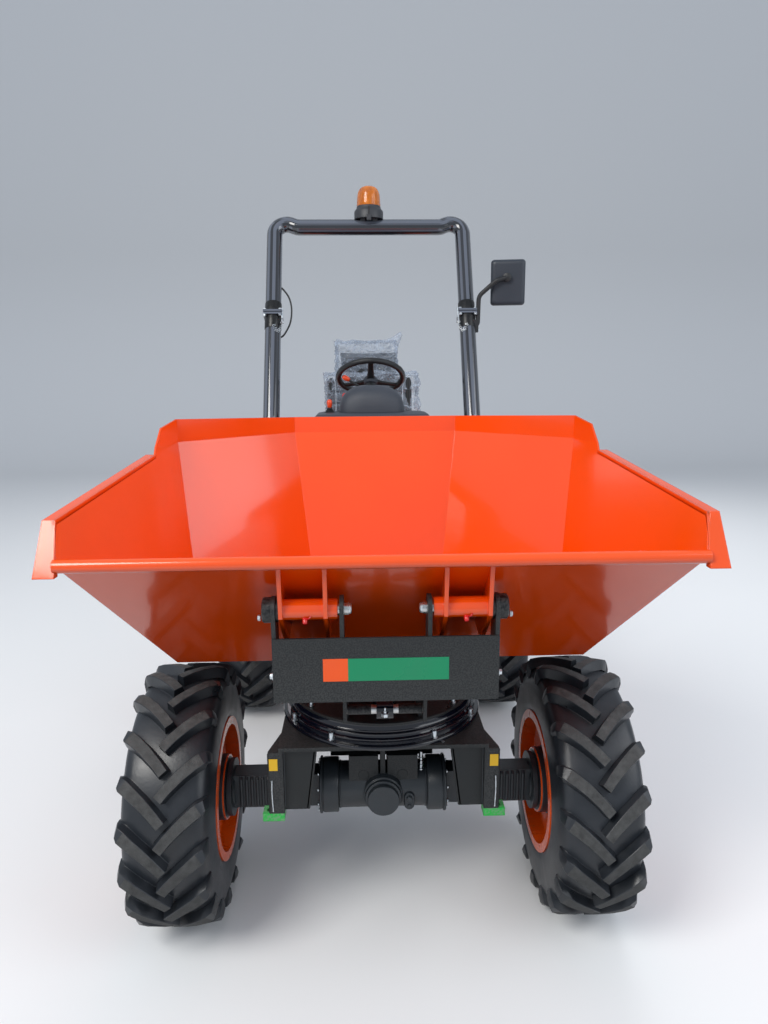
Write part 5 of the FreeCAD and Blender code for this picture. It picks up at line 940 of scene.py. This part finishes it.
def beacon():
    """Foot with its notch, ribbed amber dome and the lamp inside."""
    c = V((0, BAR.y, 0))
    base = Piece("beacon_foot", "arch_hoop", "beacon_black", beacon_grey, grille, sharp=40)
    z0, flute = 2.3795, 0.0016
    base.lathe(c + Z * z0, Z, mm((0, 60), (0, 71.5), (34, 71.5), (39, 69), (49, 61), (52, 59.5), (59, 59),
        (61, 57.5), (62, 0)), 48)
    base.box(c + V((-0.003, -0.0728, z0 - 0.012)), c + V((0.003, -0.066, z0 + 0.05)), 1)
    base.box(c + V((-0.011, -0.0735, z0 - 0.014)), c + V((0.011, -0.06, z0 + 0.01)))
    for sign in (1, -1):
        base.box(c + V((sign * 0.03 - 0.012, -0.03, 2.33)), c + V((sign * 0.03 + 0.012, 0.03, z0 + 0.004)))
    base.done("beacon_base")
    lens = Piece("beacon_dome", "arch_hoop", "beacon_amber", amber, sharp=60)
    rows = []
    for z, radius in ((2.4395, 0.057), (2.445, 0.0585), (2.452, 0.058), (2.466, 0.0572), (2.482, 0.056),
            (2.497, 0.054), (2.51, 0.05), (2.5205, 0.0435), (2.5285, 0.0345), (2.533, 0.022), (2.5348,
            0.009)):
        rows.append([c + Z * z + turned(X, Y, a) * (radius - flute * (k % 2)) for k,
            a in enumerate(around(48))])
    lens.rings(rows)
    lens.done("beacon_lens")
    inside = Piece("beacon_lamp", "arch_hoop", "steel", steel, bulb_glass, amber_core)
    for a in around(9, math.pi / 9):
        out = turned(X, Y, a)
        side = out.cross(Z) * 0.0035
        low = c + out * 0.046 + Z * 2.445
        high = low + Z * 0.059 - out * 0.006
        inside.prism([low + side, low - side, high - side, high + side], -out * 0.004, 2)
    inside.lathe(c + Z * 2.442, Z, mm((0, 40), (20, 36), (46, 34), (64, 26), (68, 0)), 24, 2)
    inside.lathe(c + Z * 2.44, Z, mm((0, 30), (12, 28), (14, 14), (30, 12)), 24)
    inside.lathe(c + Z * 2.47, Z, mm((0, 10), (10, 12), (26, 11.5), (36, 6), (37, 0)), 16, 1)
    inside.done()


def mirror():
    """Mirror on a bent arm that is clamped below the arch's fold."""
    face = V((0.656, 0.535, 2.051))
    piece = Piece("mirror_head", "rear_chassis", "dash_plastic", mirror_back, mirror_glass, black_plastic,
        zinc, sharp=60)
    tilt = Quaternion(Z, math.radians(-9)) @ Quaternion(X, math.radians(4))
    # distance towards the driver, half width, half height, corner radius
    shell = mm((-17, 60, 84, 10), (-16.5, 70, 94, 12), (-10, 77, 101, 14), (4, 81, 105, 16), (14, 81, 105,
        16), (16.5, 79, 103, 15), (16.5, 75, 99, 13), (13.5, 74, 98, 12))
    glass = mm((13.5, 74.5, 98.5, 12), (14.2, 74.5, 98.5, 12))
    for rows, mat in ((shell, 0), (glass, 1)):
        piece.slab(face, tilt @ X, tilt @ Z, tilt @ Y, rows, mat, 6)
    root = FOLD - UP * 0.06 + X * (ARCH_X + 0.036)
    bends = [root, root + V((0.014, 0, 0.012)), V((root.x + 0.016, root.y - 0.004, face.z - 0.062)),
        face + V((-0.062, -0.034, 0.006)), face + V((-0.014, -0.034, 0.02))]
    piece.tube(bar_path(bends, 0.045), 0.0105, 12, 2)
    piece.lathe(face + V((-0.012, -0.04, 0.021)), V((0.2, 1, 0)), mm((0, 12), (3, 20), (14, 20), (20, 15),
        (26, 15)), 20, 2)
    piece.box(root + V((-0.016, -0.022, -0.03)), root + V((0.014, 0.022, 0.03)), 2)
    for z in (0.018, -0.018):
        piece.bolt(root + V((0.014, 0, z)), X, 0.007, 3)
    piece.done("mirror")


# rear of the machine

def hood_trim():
    """Slatted grilles at the hood's sides and rear, each side one with its frame and latch."""
    piece = Piece("hood_grilles", "hood", "hood_paint", grille, charcoal, bevel=0.001)
    for sign in (1, -1):
        x = sign * 0.4005
        piece.box((x, 0.86, 0.9), (x - sign * 0.002, 1.28, 1.13), 0)
        for k in range(12):
            z = 0.908 + k * 0.0185
            piece.box((x, 0.862, z), (x + sign * 0.007, 1.278, z + 0.01), 1, Quaternion(Y, sign * 0.5))
        x0, x1 = sorted((x, x + sign * 0.006))
        for y0, y1, z0, z1 in ((0.85, 0.862, 0.89, 1.14), (1.278, 1.29, 0.89, 1.14), (0.85, 1.29, 0.89,
                0.902), (0.85, 1.29, 1.128, 1.14)):
            piece.box((x0, y0, z0), (x1, y1, z1), 1)
        piece.box((x0, 0.795, 0.93), (x1 + 0.001, 0.825, 0.985), 1)
    y = 1.4085
    for k in range(9):
        z = 0.85 + k * 0.021
        piece.box((-0.26, y - 0.001, z), (0.26, y + 0.006, z + 0.012), 1, Quaternion(X, 0.5))
    piece.box((-0.27, y - 0.002, 0.842), (0.27, y + 0.0005, 1.04), 0)
    piece.done()


def rear_trim():
    """Tail lamps, grips on the steps and the platform, and the tanks' caps and straps."""
    piece = Piece("tail_lamp_set", "rear_chassis", "lamp_red", black_plastic, red_lens, orange_plastic,
        clear_lens, sharp=50)
    for sign in (1, -1):
        lamp = V((sign * 0.35, 1.4565, 0.735))
        piece.slab(lamp, X, Z, Y, mm((0, 60, 30, 8), (13.5, 60, 30, 8)))
        for mat, x, w in ((2, -0.04, 0.019), (1, 0.005, 0.026), (3, 0.0445, 0.0135)):
            piece.slab(lamp + X * sign * x, X, Z, Y, [(0.0135, w, 0.027, 0.005), (0.02, w, 0.027, 0.005),
                (0.0215, w - 0.003, 0.024, 0.005)], mat)
    piece.done("tail_lamps")
    treads = Piece("step_grips", "rear_chassis", "chassis_paint", charcoal)
    for sign in (1, -1):
        for y in (-0.0205, 0.0035):
            for k in range(9):
                treads.lathe((sign * (0.305 + k * 0.033), y, 0.4602), Z, mm((0, 8), (2, 7), (2.2, 4)), 10)
    # raised lozenges of the platform's plate
    floor, pitch, row = 0.806, 0.048, 0.042
    for i in range(30):
        for j in range(9):
            at = V((-0.7 + i * pitch + (pitch / 2 if j % 2 else 0), 0.4 + j * row, floor))
            if abs(at.x) > 0.72:
                continue
            turn = Quaternion(Z, 0.8 if (i + j) % 2 else -0.8)
            treads.rings([[at + turn @ V(p) for p in ((-long, 0, z), (0, -wide, z), (long, 0, z), (0, wide,
                z))] for long, wide, z in ((0.013, 0.0035, 0), (0.008, 0.0018, 0.0016))])
    treads.done(smooth=False)
    caps = Piece("tank_caps", "rear_chassis", "dash_plastic", black_plastic, zinc, charcoal)
    for sign in (1, -1):
        caps.lathe((sign * 0.423, 0.9, 0.778), Z, mm((0, 12), (4, 14), (6, 14.5), (18, 14.5), (20, 12)), 24)
        for y in (0.93, 1.22):
            caps.box((sign * 0.4395, y - 0.018, 0.466), (sign * 0.4425, y + 0.018, 0.782), 2)
    for sign in (1, -1):
        for z in (0.5, 0.62, 0.77):
            caps.bolt((sign * 0.2, 1.4565, z), Y, 0.011, 1)
    caps.done()


def hoses():
    """Hydraulic hoses of the tipping cylinder and round the articulation joint."""
    piece = Piece("tip_hoses", "tip_barrel", "cylinder_paint", hose_rubber, zinc)
    for x, y in ((0.012, -1.255), (-0.012, -0.885)):
        piece.lathe((x, y, 0.795), Z, mm((0, 10), (10, 10), (11, 7), (16, 7)), 6, 1)
    piece.tube(curve([(-0.012, -0.885, 0.808), (-0.02, -0.9, 0.822), (-0.03, -0.95, 0.818), (-0.034, -1.1,
        0.812), (-0.03, -1.2, 0.8)], 8), 0.0075, 10)
    piece.tube(curve([(0.012, -1.255, 0.808), (0.02, -1.235, 0.82), (0.032, -1.19, 0.812), (0.034, -1.12,
        0.8)], 8), 0.0075, 10)
    piece.done()
    for k, (x, z) in enumerate(((-0.045, 0.65), (-0.015, 0.655), (0.02, 0.652), (0.05, 0.648))):
        piece = Piece("pivot_hose_%d" % k, "rear_chassis", "cylinder_paint", hose_rubber)
        piece.tube(curve([(x, -0.555, 0.606), (x, -0.5, z - 0.02), (x * 1.1, -0.38, z + 0.01), (x * 1.25,
            PIVOT, z + 0.03), (x * 1.1, -0.1, z + 0.02), (x, 0.1, z), (x, 0.272, z - 0.01)], 8), 0.0095, 10)
        obj = piece.done()
        obj.parent = None
        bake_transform(obj)


paint({"skip_paint": "skip_tub skip_rim skip_brackets engine_hood",
       "rim_paint": "front_left_rim front_right_rim rear_left_rim rear_right_rim",
       "charcoal_paint": "front_frame swivel_frame rear_frame steps platform mudguards rear_bumper "
                         "side_tanks steering_column",
       "casting": "front_axle rear_axle engine_block",
       "gloss_black": "slew_ring tip_barrel steering_barrel",
       "table_black": "swivel_plate",
       "bright_steel": "tip_pins pivot_pin",
       "chrome": "tip_rod steering_rod",
       "green_paint": "tie_down_plates",
       "arch_paint": "arch_posts arch_hoop"})
camera()
stage()
for make in (tyres, wheel_trim, axle_trim, chassis_trim, table_trim, dash, levers, seat, arch, beacon, mirror,
        hood_trim, rear_trim, hoses):
    make()

bpy.context.view_layer.update()
